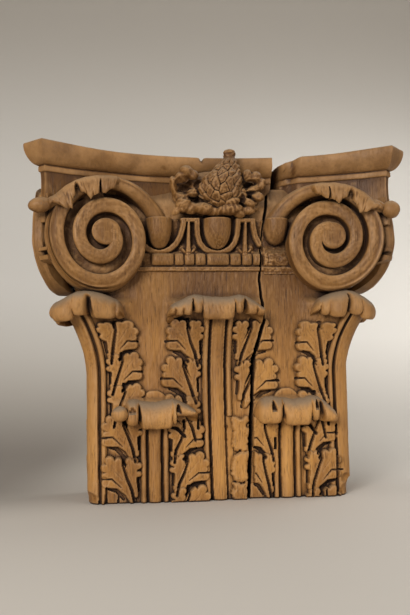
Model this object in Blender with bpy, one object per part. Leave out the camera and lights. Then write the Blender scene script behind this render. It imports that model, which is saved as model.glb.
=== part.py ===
"""Carved oak capital of a pilaster: leaves below, egg-and-dart and corner scrolls above.

One block of wood carved as one solid. Metres, +Z up. The front faces -Y, the back is a flat
plane that stood against the wall, and the origin lies on the bed, below the middle of the box.
"""
import math

import bmesh
import bpy
from mathutils import Matrix, Vector

# ---- driving dimensions ---------------------------------------------------------------------
MM = 0.001
HALF_WIDTH = 132 * MM            # body, half its width at the bed
FRONT = -25 * MM                 # body's front plane
BACK = 73 * MM                   # back plane, against the wall
CORNER_RADIUS = 10 * MM          # rounding of the two front corners
BODY_LEVELS = [(0, 0), (150, 0), (215, 1.5), (300, 4)]   # (height, spread), mm

# abacus: four-horned slab with hollow sides
HORN_X = 175.5 * MM              # front edge of a horn's blunt end
HORN_Y = FRONT - 48 * MM
HORN_BLUNT = 19 * MM             # run of the blunt end along X and along Y
HOLLOW = 47 * MM                 # depth of the hollow between the front horns
# (inset from the plan outline, height), mm: quarter round, fillet, hollow neck
ABACUS_PROFILE = [(0, 352), (0, 346.5), (1.6, 341), (4.6, 335.5), (8.6, 331), (12, 328.5),
                  (12, 324), (16, 322), (18.5, 315), (20.5, 305), (21, 278)]

# corner scrolls
SCROLL_X = 115.5 * MM            # centre of the front scrolls
SCROLL_Z = 262.4 * MM
SCROLL_FACE = FRONT - 31 * MM    # plane of a scroll's band
SCROLL_WIDE = 0.97               # a scroll is a little taller than wide
SCROLL_TALL = 1.06
SCROLL_TURNS = (-0.12, 1.83)     # from the eye to the stalk's foot, counted from the lowest point
SCROLL_DEPTH = 30 * MM
CHANNEL_DEPTH = 8 * MM           # depth of the channel between two turns
EYE_RADIUS = 12.5 * MM

# egg-and-dart with its bead-and-reel, between the scrolls
EGG_TOP = 285 * MM
EGG_BOTTOM = 253.5 * MM
EGG_FACE = FRONT - 12 * MM
EGG_CENTRES = [-62, -1.5, 60]    # mm
DART_CENTRES = [-30.5, 28.5]     # mm
EGG_HALF_WIDTH = 14.5 * MM
BEAD_Z = 244.3 * MM
BEAD_RADIUS = 5.6 * MM
BEAD_RUNS = [(-68, -48), (-46, -39), (-36.5, -29), (-26.5, -16), (-12.5, 10), (13, 22),
             (24, 32), (34, 41), (53, 73)]               # mm along X

# leaves and their curled tips
UPPER_TOP = 187 * MM             # where an upper leaf's tip bends out
LOWER_TOP = 92 * MM
UPPER_HALF = 56 * MM             # half width of a leaf along the outline
SIDE_HALF = 30 * MM              # the same for a lower leaf on a side face
SIDE_SHALLOW = 0.35              # leaves are cut this much shallower on the side faces
CENTRE_LEAF_X = -3 * MM
LOWER_LEAF_X = 67.5 * MM
LEAF_THICKNESS = 3.5 * MM        # how far a leaf stands proud of the block
LEAF_ROOT = -4 * MM              # how far it is bedded in it

# bud and petals over the middle: (name, centre, radii, turn about Y), mm, Y from the front plane
FLOWER = [("bud", (0, -18, 319), (23, 19, 23), 0),
          ("bud_neck", (7, -18, 339), (9, 9, 13), 25),
          ("bud_tip", (11.5, -18, 350), (6.5, 6.5, 6), 0),
          ("petal_ball", (-34, -19, 331), (7.5, 8, 7.5), 0),
          ("petal_left", (-40, -12, 315), (10, 14, 20), -20),
          ("petal_low_left", (-17, -21, 297), (12, 9, 8), 0),
          ("petal_low_right", (10, -21, 297), (14, 9, 8), 0),
          ("petal_right", (39, -14, 326), (13, 12, 8), 0),
          ("petal_right_low", (38, -14, 309), (12, 13, 10), 0),
          ("flower_ground", (0, -2, 312), (48, 14, 27), 0)]

# worn oak
OAK_COLOUR = (0.30, 0.175, 0.085, 1)
OAK_ROUGHNESS = 0.62

# the opened joint between two boards: (height, middle, width), mm, bottom to top
CRACK = [(-5, 26, 4.5), (70, 30, 4.6), (130, 33, 4.4), (150, 36.6, 4.4), (183, 46, 4.4),
         (222, 43, 3.0), (275, 47, 2.6), (320, 56, 3.0), (362, 62, 3.2)]
CRACK_END = 48 * MM              # the boards still hold together behind this plane

parts = None
cutters = None


# ---- small helpers --------------------------------------------------------------------------
def new_collection(name):
    """Add an empty collection to the scene."""
    col = bpy.data.collections.new(name)
    bpy.context.scene.collection.children.link(col)
    return col


def add_object(name, bm, collection):
    """Turn a bmesh into an object with outward faces."""
    bmesh.ops.recalc_face_normals(bm, faces=bm.faces)
    mesh = bpy.data.meshes.new(name)
    bm.to_mesh(mesh)
    bm.free()
    obj = bpy.data.objects.new(name, mesh)
    collection.objects.link(obj)
    return obj


def boolean(obj, name, bm, operation='UNION'):
    """Join a shape to an object, or cut it away.

    EXACT leaves open edges where these lofted shells cross, so the solver is MANIFOLD.
    """
    tool = add_object(name, bm, cutters)
    tool.hide_render = True
    tool.display_type = 'WIRE'
    mod = obj.modifiers.new(name, 'BOOLEAN')
    mod.operation = operation
    mod.solver = 'MANIFOLD'
    mod.object = tool


def loft(rings):
    """Skin rings of equal length into one closed tube with a cap at each end."""
    bm = bmesh.new()
    loops = [[bm.verts.new(p) for p in ring] for ring in rings]
    count = len(loops[0])
    for low, high in zip(loops, loops[1:]):
        for i in range(count):
            j = (i + 1) % count
            bm.faces.new((low[i], low[j], high[j], high[i]))
    bm.faces.new(loops[0])
    bm.faces.new(list(reversed(loops[-1])))
    return bm


def ellipsoid(centre, radii, turn=0.0, segments=8, rings=5):
    """A ball stretched to three radii, turned about Y by some degrees; sizes in mm."""
    bm = bmesh.new()
    place = (Matrix.Translation(Vector(centre) * MM) @ Matrix.Rotation(math.radians(turn), 4, 'Y')
             @ Matrix.Diagonal((*(Vector(radii) * MM), 1)))
    bmesh.ops.create_uvsphere(bm, u_segments=segments, v_segments=rings, radius=1, matrix=place)
    return bm


def slab(centre, size):
    """A box of a given size about its centre."""
    bm = bmesh.new()
    place = Matrix.Translation(centre) @ Matrix.Diagonal((*size, 1))
    bmesh.ops.create_cube(bm, size=1, matrix=place)
    return bm


def disc(centre, radius, depth, segments):
    """An upright disc whose front face is at the centre and which runs back by its depth."""
    bm = bmesh.new()
    middle = Vector(centre) + Vector((0, depth / 2, 0))
    place = Matrix.Translation(middle) @ Matrix.Rotation(math.radians(90), 4, 'X')
    bmesh.ops.create_cone(bm, cap_ends=True, segments=segments, radius1=radius, radius2=radius,
                          depth=depth, matrix=place)
    return bm


def mirrored(bm, matrix):
    """A transformed copy of a bmesh."""
    copy = bm.copy()
    bmesh.ops.transform(copy, matrix=matrix, verts=copy.verts)
    return copy


MIRROR_X = Matrix.Diagonal((-1, 1, 1, 1))
# reflection in the upright plane through the middle of the left horn's blunt end
DIAGONAL = HORN_Y + HORN_X + HORN_BLUNT
MIRROR_DIAGONAL = Matrix(((0, 1, 0, -DIAGONAL), (1, 0, 0, DIAGONAL), (0, 0, 1, 0), (0, 0, 0, 1)))
FOUR_CORNERS = [("front_left", Matrix.Identity(4)), ("side_left", MIRROR_DIAGONAL),
                ("front_right", MIRROR_X), ("side_right", MIRROR_X @ MIRROR_DIAGONAL)]


# ---- block and abacus -----------------------------------------------------------------------
SIDE_RUN = BACK - FRONT - CORNER_RADIUS
ARC_RUN = CORNER_RADIUS * math.pi / 2
FRONT_RUN = 2 * (HALF_WIDTH - CORNER_RADIUS)
LEFT_CORNER = SIDE_RUN + ARC_RUN / 2


def outline(s, out=0.0):
    """Point of the block's plan outline after a run s from the back left, moved out along it."""
    total = 2 * SIDE_RUN + 2 * ARC_RUN + FRONT_RUN
    flip = s > total / 2
    if flip:
        s = total - s
    if s <= SIDE_RUN:
        x, y = -HALF_WIDTH - out, BACK - s
    elif s <= SIDE_RUN + ARC_RUN:
        a = (s - SIDE_RUN) / CORNER_RADIUS
        r = CORNER_RADIUS + out
        x = -HALF_WIDTH + CORNER_RADIUS - r * math.cos(a)
        y = FRONT + CORNER_RADIUS - r * math.sin(a)
    else:
        x, y = -HALF_WIDTH + CORNER_RADIUS + s - SIDE_RUN - ARC_RUN, FRONT - out
    return (-x if flip else x), y


def run_of(x):
    """Run along the outline of a point at x on the front."""
    return SIDE_RUN + ARC_RUN + x + HALF_WIDTH - CORNER_RADIUS


def body():
    """The block below the abacus, with rounded front corners and a slight spread at the top."""
    arc = [SIDE_RUN + ARC_RUN * i / 4 for i in range(5)]
    total = 2 * SIDE_RUN + 2 * ARC_RUN + FRONT_RUN
    runs = [0.0] + arc + [total - s for s in reversed(arc)] + [total]
    return loft([[(*outline(s, spread * MM), z * MM) for s in runs] for z, spread in BODY_LEVELS])


def abacus_ring(inset, z):
    """The slab's plan outline drawn in by an inset, from the back left round to the back right."""
    front_steps, side_steps = 9, 6
    hollow_radius = (HORN_X ** 2 + HOLLOW ** 2) / (2 * HOLLOW)
    front_y = HORN_Y + HOLLOW - hollow_radius
    side_x, side_y = front_y - DIAGONAL, DIAGONAL
    radius = hollow_radius + inset
    # the blunt end lies on the line x + y = blunt, and the front arc meets it at x_meet
    blunt = -HORN_X + HORN_Y + inset * math.sqrt(2)
    b = front_y - blunt
    x_meet = (-b - math.sqrt(2 * radius ** 2 - b * b)) / 2
    y_meet = blunt - x_meet
    half = []
    a_back = math.asin((BACK - side_y) / radius)
    a_horn = math.asin((x_meet + DIAGONAL - side_y) / radius)
    for i in range(side_steps + 1):
        a = a_back + (a_horn - a_back) * i / side_steps
        half.append((side_x + radius * math.cos(a), side_y + radius * math.sin(a)))
    a_meet = math.atan2(y_meet - front_y, x_meet)
    for i in range(front_steps + 1):
        a = a_meet + (math.pi / 2 - a_meet) * i / front_steps
        half.append((radius * math.cos(a), front_y + radius * math.sin(a)))
    whole = half + [(-x, y) for x, y in reversed(half[:-1])]
    return [(x, y, z) for x, y in whole]


def abacus():
    """The hollow-sided slab with its quarter round, fillet and neck."""
    return loft([abacus_ring(inset * MM, z * MM) for inset, z in ABACUS_PROFILE])


# ---- scrolls --------------------------------------------------------------------------------
def band_middle(turn):
    """Radius of the band's middle after so many turns, counted from its first lowest point."""
    return (18.2 + 22.5 * turn + turn * turn) * MM


def scroll_band():
    """Left front scroll: the band that winds out from the eye, over the top and down to the egg."""
    first, last = SCROLL_TURNS
    steps = 27
    rings = []
    for i in range(steps + 1):
        turn = first + (last - first) * i / steps
        half = (6.6 + 1.7 * max(turn, 0)) * MM
        angle = math.radians(-90) - 2 * math.pi * turn
        along = (SCROLL_WIDE * math.cos(angle), SCROLL_TALL * math.sin(angle))
        r = band_middle(turn)
        crown = 1.6 * MM
        corners = ((r - half, 0), (r, -crown), (r + half, 0), (r + half, SCROLL_DEPTH),
                   (r - half, SCROLL_DEPTH))
        rings.append([(-SCROLL_X + rr * along[0], SCROLL_FACE + y, SCROLL_Z + rr * along[1])
                      for rr, y in corners])
    return loft(rings)


def corner_web():
    """The wood left standing between a front scroll and its side scroll, left corner."""
    outer = Vector((-165 * MM, -47 * MM))
    rings = []
    for z, draw in ((192, 20), (214, 9), (235, 3), (262, 0), (272, -7.3), (304.3, -8.4)):
        tip = outer + Vector((draw, draw)) * MM
        near = Vector((-100 * MM, FRONT - 8 * MM + draw * MM / 2))
        far = Vector((near.y - DIAGONAL, near.x + DIAGONAL))
        inner = Vector((-100 * MM, 20 * MM))
        rings.append([(p.x, p.y, z * MM) for p in (near, tip, far, inner)])
    return loft(rings)


def scroll_leaf():
    """Left front scroll: the leaf that lies over the top turn and ends in a knob at the horn."""
    strip = []
    for x, z, half in ((-98, 318, 4), (-112, 319, 6), (-130, 317, 7), (-146, 310, 7),
                       (-160, 300, 6), (-172, 293, 6), (-182, 291, 5)):
        y = SCROLL_FACE
        strip.append([(x * MM, y - 4 * MM, (z - half) * MM), (x * MM, y - 6 * MM, z * MM),
                      (x * MM, y + 2 * MM, (z + half) * MM), (x * MM, y + 24 * MM, (z + half) * MM),
                      (x * MM, y + 24 * MM, (z - half) * MM)])
    return [loft(strip)] + [
        ellipsoid((x, SCROLL_FACE / MM - 1, z), (wide, 8, tall), turn)
        for x, z, wide, tall, turn in ((-111, 312, 7, 9, 0), (-129, 308, 9, 11, 0),
                                       (-151, 300, 8, 13, 25), (-182, 291.5, 9.5, 9, 0))]


# ---- egg-and-dart ---------------------------------------------------------------------------
def echinus():
    """The hollow ledge that holds the eggs, between the scrolls."""
    rings = []
    for x in (-84 * MM, 82 * MM):
        rings.append([(x, y, z * MM) for y, z in (
            (0, 229), (FRONT - 5 * MM, 231), (FRONT - 5 * MM, 236), (FRONT - 1 * MM, 237.5),
            (FRONT - 1 * MM, 251), (FRONT - 3 * MM, 254), (FRONT - 6 * MM, 268),
            (EGG_FACE, 281), (EGG_FACE, 286), (0, 287))])
    return loft(rings)


def egg_row():
    """Eggs and darts: each egg is a ball cut off level at the ledge."""
    height = EGG_TOP - EGG_BOTTOM
    shapes = []
    for x in EGG_CENTRES:
        egg = ellipsoid((x, EGG_FACE / MM + 2, EGG_TOP / MM - 2),
                        (EGG_HALF_WIDTH / MM, 11, height / MM - 2), segments=10, rings=8)
        geom = egg.verts[:] + egg.edges[:] + egg.faces[:]
        cut = bmesh.ops.bisect_plane(egg, geom=geom, plane_co=(0, 0, EGG_TOP - 0.4 * MM),
                                     plane_no=(0, 0, 1), clear_outer=True)
        rim = [e for e in cut["geom_cut"] if isinstance(e, bmesh.types.BMEdge)]
        bmesh.ops.contextual_create(egg, geom=rim)
        shapes.append(egg)
    for x in DART_CENTRES:
        dart = bmesh.new()
        place = Matrix.Translation((x * MM, EGG_FACE + 5 * MM, 267 * MM))
        bmesh.ops.create_cone(dart, cap_ends=True, segments=4, radius1=6 * MM, radius2=1.5 * MM,
                              depth=30 * MM, matrix=place)
        shapes.append(dart)
    return shapes


def bead_row():
    """Bead-and-reel: turned beads lying along X, long ones between groups of short ones."""
    shapes = []
    for start, end in BEAD_RUNS:
        rings = []
        for t, swell in ((0, 0.62), (0.25, 0.97), (0.75, 0.97), (1, 0.62)):
            x = (start + (end - start) * t) * MM
            r = BEAD_RADIUS * swell
            rings.append([(x, FRONT - 2 * MM - r * math.sin(math.radians(a)),
                           BEAD_Z + r * math.cos(math.radians(a))) for a in range(0, 360, 60)])
        shapes.append(loft(rings))
    return shapes


# ---- leaves ---------------------------------------------------------------------------------
def depth_at(s):
    """How deeply the leaves are cut at a place on the outline, 1 on the front."""
    past = (LEFT_CORNER - min(s, 2 * run_of(0) - s)) / (14 * MM)
    return 1 - (1 - SIDE_SHALLOW) * max(0, min(1, past))


def leaf(middle, half_width, top, flare, lobes):
    """A leaf standing on the bed: a lobed slab with a middle rib, leaning out towards its top."""
    rows, columns = 8, 8
    rings = []
    for j in range(rows + 1):
        v = j / rows
        z = -1 * MM if j == 0 else top * v
        scallop = 1 - 0.16 * abs(math.cos(math.pi * lobes * v))
        half = half_width * scallop * (1 - 0.22 * v ** 3)
        lean = flare * max(0, (v - 0.45) / 0.55) ** 2.2
        face = []
        inner = []
        for i in range(columns + 1):
            u = -1 + 2 * i / columns
            s = middle + half * u
            rib = 3.0 * MM * math.exp(-(u / 0.16) ** 2)
            ripple = 1.0 * MM * math.cos(3 * math.pi * u)
            height = (LEAF_THICKNESS + rib + ripple) * depth_at(s) + lean * (1 - 0.75 * u * u)
            face.append((*outline(s, height), z))
            inner.append((*outline(s, LEAF_ROOT), z))
        rings.append(face + inner[::-1])
    return loft(rings)


def curl(middle, half_width, crest, reach, drop, lobes):
    """A leaf's tip that bends out and down: a hooked section swept across the leaf."""
    steps = 8
    rings = []
    for i in range(steps + 1):
        u = -1 + 2 * i / steps
        bend = 1 - 0.45 * u * u
        lobe = 0.78 + 0.22 * abs(math.cos(math.pi * lobes * u / 2))
        a = reach * bend
        d = drop * bend * lobe
        z = crest - 6 * MM * u * u
        hook = ((-5 * MM, -16 * MM), (-5 * MM, -2 * MM), (0.35 * a, 0), (0.8 * a, -2 * MM),
                (a, -0.35 * d), (0.98 * a, -0.75 * d), (0.78 * a, -d), (0.6 * a, -0.72 * d),
                (0.42 * a, -0.58 * d))
        rings.append([(*outline(middle + half_width * u, out), z + rise) for out, rise in hook])
    return loft(rings)


def leaves():
    """The centre leaf, two corner leaves and four lower leaves.

    All have curled tips but the lower leaves on the side faces, which lie flat.
    """
    right_corner = 2 * run_of(0) - LEFT_CORNER
    side_lower = LEFT_CORNER - (HALF_WIDTH - LOWER_LEAF_X)
    side_right = 2 * run_of(0) - side_lower
    shapes = []
    for name, middle, flare in (("centre_leaf", run_of(CENTRE_LEAF_X), 13 * MM),
                                ("left_corner_leaf", LEFT_CORNER, 16 * MM),
                                ("right_corner_leaf", right_corner, 16 * MM)):
        shapes.append((name, leaf(middle, UPPER_HALF, UPPER_TOP, flare, 5)))
    shapes.append(("centre_curl", curl(run_of(CENTRE_LEAF_X), 46 * MM, 205 * MM, 34 * MM,
                                       33 * MM, 3)))
    for name, middle in (("left_corner_curl", LEFT_CORNER), ("right_corner_curl", right_corner)):
        shapes.append((name, curl(middle, 34 * MM, 209 * MM, 34 * MM, 32 * MM, 3)))
    for name, middle in (("lower_left", run_of(-LOWER_LEAF_X)), ("lower_right", run_of(LOWER_LEAF_X)),
                         ("side_lower_left", side_lower), ("side_lower_right", side_right)):
        if name.startswith("side"):
            shapes.append((name + "_leaf", leaf(middle, SIDE_HALF, LOWER_TOP, 0, 2.5)))
            continue
        shapes.append((name + "_leaf", leaf(middle, UPPER_HALF, LOWER_TOP, 14 * MM, 2.5)))
        shapes.append((name + "_curl", curl(middle, UPPER_HALF * 0.8, 104 * MM, 28 * MM, 28 * MM, 3)))
    return shapes


def flower():
    """The bud and its petals over the middle of the egg-and-dart."""
    shapes = []
    for name, (x, y, z), radii, turn in FLOWER:
        segments = 12 if name == "bud" else 8
        shapes.append((name, ellipsoid((x, FRONT / MM + y, z), radii, turn, segments)))
    return shapes


# ---- wear and damage ------------------------------------------------------------------------
def joint_gap():
    """Cutter of the opened joint: a thin wedge that winds up the front and closes behind."""
    rings = []
    for z, x, width in CRACK:
        half = width * MM / 2
        rings.append([(x * MM - half, -0.1, z * MM), (x * MM + half, -0.1, z * MM),
                      (x * MM + half / 2, CRACK_END, z * MM), (x * MM - half / 2, CRACK_END, z * MM)])
    return loft(rings)


def broken_moulding():
    """Cutter of the edge lost from the abacus just right of the joint."""
    rings = []
    for x, low in ((59, 2), (72, 0), (80, -6)):
        rings.append([(x * MM, -0.09, 300 * MM), (x * MM, -0.012 - low * MM, 316 * MM),
                      (x * MM, 0.004 - low * MM, 344 * MM), (x * MM, 0.012 - low * MM, 0.37),
                      (x * MM, -0.09, 0.37)])
    return loft(rings)


def oak():
    """Old honey-brown oak."""
    material = bpy.data.materials.new("oak")
    material.use_nodes = True
    shader = material.node_tree.nodes["Principled BSDF"]
    shader.inputs["Base Color"].default_value = OAK_COLOUR
    shader.inputs["Roughness"].default_value = OAK_ROUGHNESS
    shader.inputs["Metallic"].default_value = 0
    return material


def main():
    """Build the capital."""
    global parts, cutters
    for obj in list(bpy.data.objects):
        bpy.data.objects.remove(obj, do_unlink=True)
    parts = new_collection("capital")
    cutters = new_collection("cutters")
    block = add_object("capital", body(), parts)
    block.data.materials.append(oak())
    boolean(block, "abacus", abacus())
    boolean(block, "echinus", echinus())
    corner_pieces = [("band", scroll_band()), ("web", corner_web()),
                     ("drum", disc((-SCROLL_X, SCROLL_FACE + CHANNEL_DEPTH, SCROLL_Z), 45 * MM,
                                   50 * MM, 24)),
                     ("eye", disc((-SCROLL_X, SCROLL_FACE, SCROLL_Z), EYE_RADIUS,
                                  CHANNEL_DEPTH + 4 * MM, 14))]
    corner_pieces += [("leaf_%d" % n, bm) for n, bm in enumerate(scroll_leaf())]
    for piece, bm in corner_pieces:
        for corner, matrix in FOUR_CORNERS:
            boolean(block, "%s_%s" % (corner, piece), mirrored(bm, matrix))
        bm.free()
    for name, bm in leaves() + flower():
        boolean(block, name, bm)
    for n, bm in enumerate(egg_row() + bead_row()):
        boolean(block, "ornament_%02d" % n, bm)
    boolean(block, "below_bed", slab((0, 0, -0.05), (0.6, 0.6, 0.1)), 'DIFFERENCE')
    boolean(block, "behind_back", slab((0, BACK + 0.05, 0.2), (0.6, 0.1, 0.6)), 'DIFFERENCE')
    boolean(block, "broken_moulding", broken_moulding(), 'DIFFERENCE')
    boolean(block, "joint_gap", joint_gap(), 'DIFFERENCE')


main()
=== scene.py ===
"""Looks of a carved oak pilaster capital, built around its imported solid.

The capital is one block of oak boards: a leafy bell, a band of egg-and-dart, corner scrolls, a bud
with petals and a hollow-sided abacus. A joint between two boards has opened, so the carved skin
comes in a left and a right board. Sizes are in millimetres until a mesh is written.
"""
from __future__ import annotations

import logging
import math
from dataclasses import dataclass, field
from enum import Enum, IntEnum
from typing import Callable

import bmesh
import bpy
import numpy as np
from mathutils import Matrix, Vector


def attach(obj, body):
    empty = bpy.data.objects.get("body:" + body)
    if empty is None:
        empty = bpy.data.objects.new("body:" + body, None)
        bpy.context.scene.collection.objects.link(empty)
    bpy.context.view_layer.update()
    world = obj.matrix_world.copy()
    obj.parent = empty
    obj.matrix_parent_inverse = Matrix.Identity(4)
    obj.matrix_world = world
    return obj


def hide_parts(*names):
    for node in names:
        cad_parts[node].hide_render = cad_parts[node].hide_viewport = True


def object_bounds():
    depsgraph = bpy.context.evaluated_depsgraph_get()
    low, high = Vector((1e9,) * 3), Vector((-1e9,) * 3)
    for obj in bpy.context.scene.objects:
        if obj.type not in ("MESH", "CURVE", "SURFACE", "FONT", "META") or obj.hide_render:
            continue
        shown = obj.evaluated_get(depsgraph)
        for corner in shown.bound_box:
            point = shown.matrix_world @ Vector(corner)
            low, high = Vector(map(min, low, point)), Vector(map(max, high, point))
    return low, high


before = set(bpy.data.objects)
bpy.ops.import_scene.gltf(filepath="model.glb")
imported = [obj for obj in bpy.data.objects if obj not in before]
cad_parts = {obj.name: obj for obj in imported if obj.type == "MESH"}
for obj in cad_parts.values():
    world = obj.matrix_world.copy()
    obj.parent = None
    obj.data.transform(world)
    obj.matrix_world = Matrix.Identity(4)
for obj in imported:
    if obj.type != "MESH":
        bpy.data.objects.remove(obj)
cad_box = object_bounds()

MM = 0.001
QUARTER = math.pi / 2
NODE = "capital"
BODY = "root"
FULL_HOLLOW = 1.1  # mm below its surroundings where a place counts as fully sunk
FULL_EDGE = 0.16  # mm above them where it counts as a sharp edge

Array = np.ndarray
Shape = bmesh.types.BMesh
Material = bpy.types.Material
Tree = bpy.types.NodeTree
Node = bpy.types.Node
Socket = bpy.types.NodeSocket
Piece = bpy.types.Object
Triple = tuple[float, float, float]
Pairs = tuple[tuple[float, float], ...]
Course = Callable[[Array], Array]
log = logging.getLogger("capital")


class Side(Enum):
    """The left and the right of the capital, and the signs that X has there."""

    LEFT = -1
    RIGHT = 1


class Leg(IntEnum):
    """Stretches of the way round a board, a panel or a slab."""

    SIDE = 0
    FRONT = 1
    WALL = 2  # at the opened joint
    BACK = 3
    END = 4
    BLUNT = 5  # the horn's cut-off end


# ---- numbers ----
def ramp(low: float, high: float, value: Array) -> Array:
    """Rise smoothly from 0 to 1.

    Args:
        low: where the rise starts; it may be above high, and then it falls.
        high: where the rise ends.
        value: numbers to read the rise at.

    Returns:
        The rise at each value.
    """
    t = np.clip((value - low) / (high - low), 0.0, 1.0)
    return t * t * (3 - 2 * t)


def bump(middle: float, half: float, value: Array) -> Array:
    """A smooth hump of height 1 about a middle, 0 beyond half to each side."""
    return ramp(half, 0.0, np.abs(value - middle))


def pillow(closeness: Array, roundness: float) -> Array:
    """Turn closeness (0 at a lobe's edge, 1 on its spine) into a rounded height of 0 to 1."""
    return (1 - (1 - np.clip(closeness, 0, 1)) ** roundness) ** (1 / roundness)


def through(knots: Pairs, value: Array, column: int = 1) -> Array:
    """Read a column of (position, amount, ...) knots at some positions."""
    return np.interp(value, [k[0] for k in knots], [k[column] for k in knots])


def points(x: Array, y: Array, z: Array) -> Array:
    """Points from their coordinates, any of which may be one number for all of them."""
    return np.stack(np.broadcast_arrays(x, y, z), axis=1)


def several(kind: type, *rows: tuple[float, ...]) -> tuple:
    """Things of one kind from rows of their fields."""
    return tuple(kind(*row) for row in rows)


def always(*direction: float) -> Course:
    """The same direction at every station."""
    return lambda u: np.tile(direction, (len(u), 1))


class Noise:
    """Smooth noise on the plane that is the same each time."""

    SIDE = 128

    def __init__(self, seed: int) -> None:
        """Fill the lattice from a seed."""
        self.table = np.random.default_rng(seed).uniform(-1, 1, (self.SIDE, self.SIDE))

    def at(self, x: Array, y: Array) -> Array:
        """Noise of -1 to 1 with lumps about one unit across."""
        left, low = np.floor(x).astype(int), np.floor(y).astype(int)
        fx, fy = x - left, y - low
        fx, fy = fx * fx * (3 - 2 * fx), fy * fy * (3 - 2 * fy)
        i, j = left % self.SIDE, low % self.SIDE
        k, m = (i + 1) % self.SIDE, (j + 1) % self.SIDE
        near = self.table[i, j] * (1 - fx) + self.table[k, j] * fx
        far = self.table[i, m] * (1 - fx) + self.table[k, m] * fx
        return near * (1 - fy) + far * fy

    def rough(self, x: Array, y: Array, octaves: int = 3) -> Array:
        """Noise with finer lumps added, each octave half the size and half the strength."""
        total = np.zeros(np.broadcast(x, y).shape)
        for k in range(octaves):
            total += self.at(x * 2 ** k + 17.3 * k, y * 2 ** k + 31.7 * k) / 2 ** k
        return total


WEAR = Noise(7)


# ---- mesh helpers ----
def outward(bm: Shape) -> None:
    """Turn the faces of one closed shape outwards.

    Args:
        bm: the shape, changed in place.
    """
    bmesh.ops.recalc_face_normals(bm, faces=bm.faces)
    if bm.calc_volume(signed=True) < 0:
        bmesh.ops.reverse_faces(bm, faces=bm.faces)


def sheet(us: Array, vs: Array, place: Callable[[Array, Array], Array], solid: bool = True) -> Shape:
    """Bend a grid into a surface.

    Args:
        us: stations along the grid's first direction.
        vs: stations along its second direction.
        place: gives the points (mm) for arrays of stations.
        solid: the first and last u fall together and are welded, and the open ends are filled.

    Returns:
        The surface, in metres.
    """
    us, vs = np.asarray(us, float), np.asarray(vs, float)
    bm = bmesh.new()
    bmesh.ops.create_grid(bm, x_segments=len(us) - 1, y_segments=len(vs) - 1, size=0.5)
    flat = np.array([vert.co[:2] for vert in bm.verts]) + 0.5
    columns = np.rint(flat[:, 0] * (len(us) - 1)).astype(int)
    rows = np.rint(flat[:, 1] * (len(vs) - 1)).astype(int)
    for vert, point in zip(bm.verts, place(us[columns], vs[rows]) * MM):
        vert.co = point
    if solid:
        seam = [vert for vert in bm.verts if vert.is_boundary]
        bmesh.ops.remove_doubles(bm, verts=seam, dist=1e-6)
        rims = [edge for edge in bm.edges if edge.is_boundary]
        bmesh.ops.holes_fill(bm, edges=rims, sides=0)
        outward(bm)
    return bm


def wrapped(ring: list[tuple[float, float]], rows: Array,
            place: Callable[[Array, Array, Array], Array]) -> Shape:
    """Lay a closed surface over a ring of stations.

    Args:
        ring: two numbers for each station, such as its leg and its place on it.
        rows: stations across the ring.
        place: gives the points (mm) for those numbers and the rows.

    Returns:
        The surface, its ends filled, in metres.
    """
    table = np.array(ring)

    def point(number: Array, row: Array) -> Array:
        """Points for station numbers and rows."""
        first, second = table[number.astype(int)].T
        return place(first, second, row)

    return sheet(np.append(np.arange(len(ring)), 0), rows, point)


def legs(*stretches: tuple[Leg, Array]) -> list[tuple[Leg, float]]:
    """Stations of a ring, from the positions on each of its legs."""
    return [(leg, float(spot)) for leg, spots in stretches for spot in spots]


def ball(centre: Triple, radii: Triple, turn: float = 0.0,
         segments: int = 32, rings: int = 20) -> Shape:
    """A ball stretched to three radii.

    Args:
        centre: its middle, mm.
        radii: its half sizes along X, Y and Z, mm.
        turn: degrees turned about Y.
        segments: faces round.
        rings: faces from pole to pole.

    Returns:
        The ball.
    """
    bm = bmesh.new()
    place = (Matrix.Translation(Vector(centre) * MM) @ Matrix.Rotation(math.radians(turn), 4, "Y")
             @ Matrix.Diagonal((*(Vector(radii) * MM), 1)))
    bmesh.ops.create_uvsphere(bm, u_segments=segments, v_segments=rings, radius=1, matrix=place)
    return bm


def joined(shapes: list[Shape]) -> Shape:
    """Put several shapes into one bmesh and free them."""
    whole = bmesh.new()
    for shape in shapes:
        mesh = bpy.data.meshes.new("part")
        shape.to_mesh(mesh)
        shape.free()
        whole.from_mesh(mesh)
        bpy.data.meshes.remove(mesh)
    return whole


def transformed(bm: Shape, matrix: Matrix) -> Shape:
    """A moved or mirrored copy of a bmesh, its faces still outwards."""
    copy = bm.copy()
    bmesh.ops.transform(copy, matrix=matrix, verts=copy.verts)
    if matrix.determinant() < 0:
        bmesh.ops.reverse_faces(copy, faces=copy.faces)
    return copy


def nudge(bm: Shape, amount: float, lump: float, seed: int = 3) -> None:
    """Make a surface uneven, as tools and wear leave it.

    Args:
        bm: the surface, changed in place.
        amount: the most that a point moves, mm.
        lump: size of the lumps, mm.
        seed: which noise.
    """
    noise = Noise(seed)
    bm.normal_update()
    x, y, z = np.array([vert.co[:] for vert in bm.verts]).T / MM / lump
    shift = noise.rough(x + 0.61 * y, z * 0.8 + 0.37 * y)
    moves = [(vert, vert.normal.copy()) for vert in bm.verts]
    for (vert, normal), step in zip(moves, shift):
        vert.co += normal * float(step) * amount * MM


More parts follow.
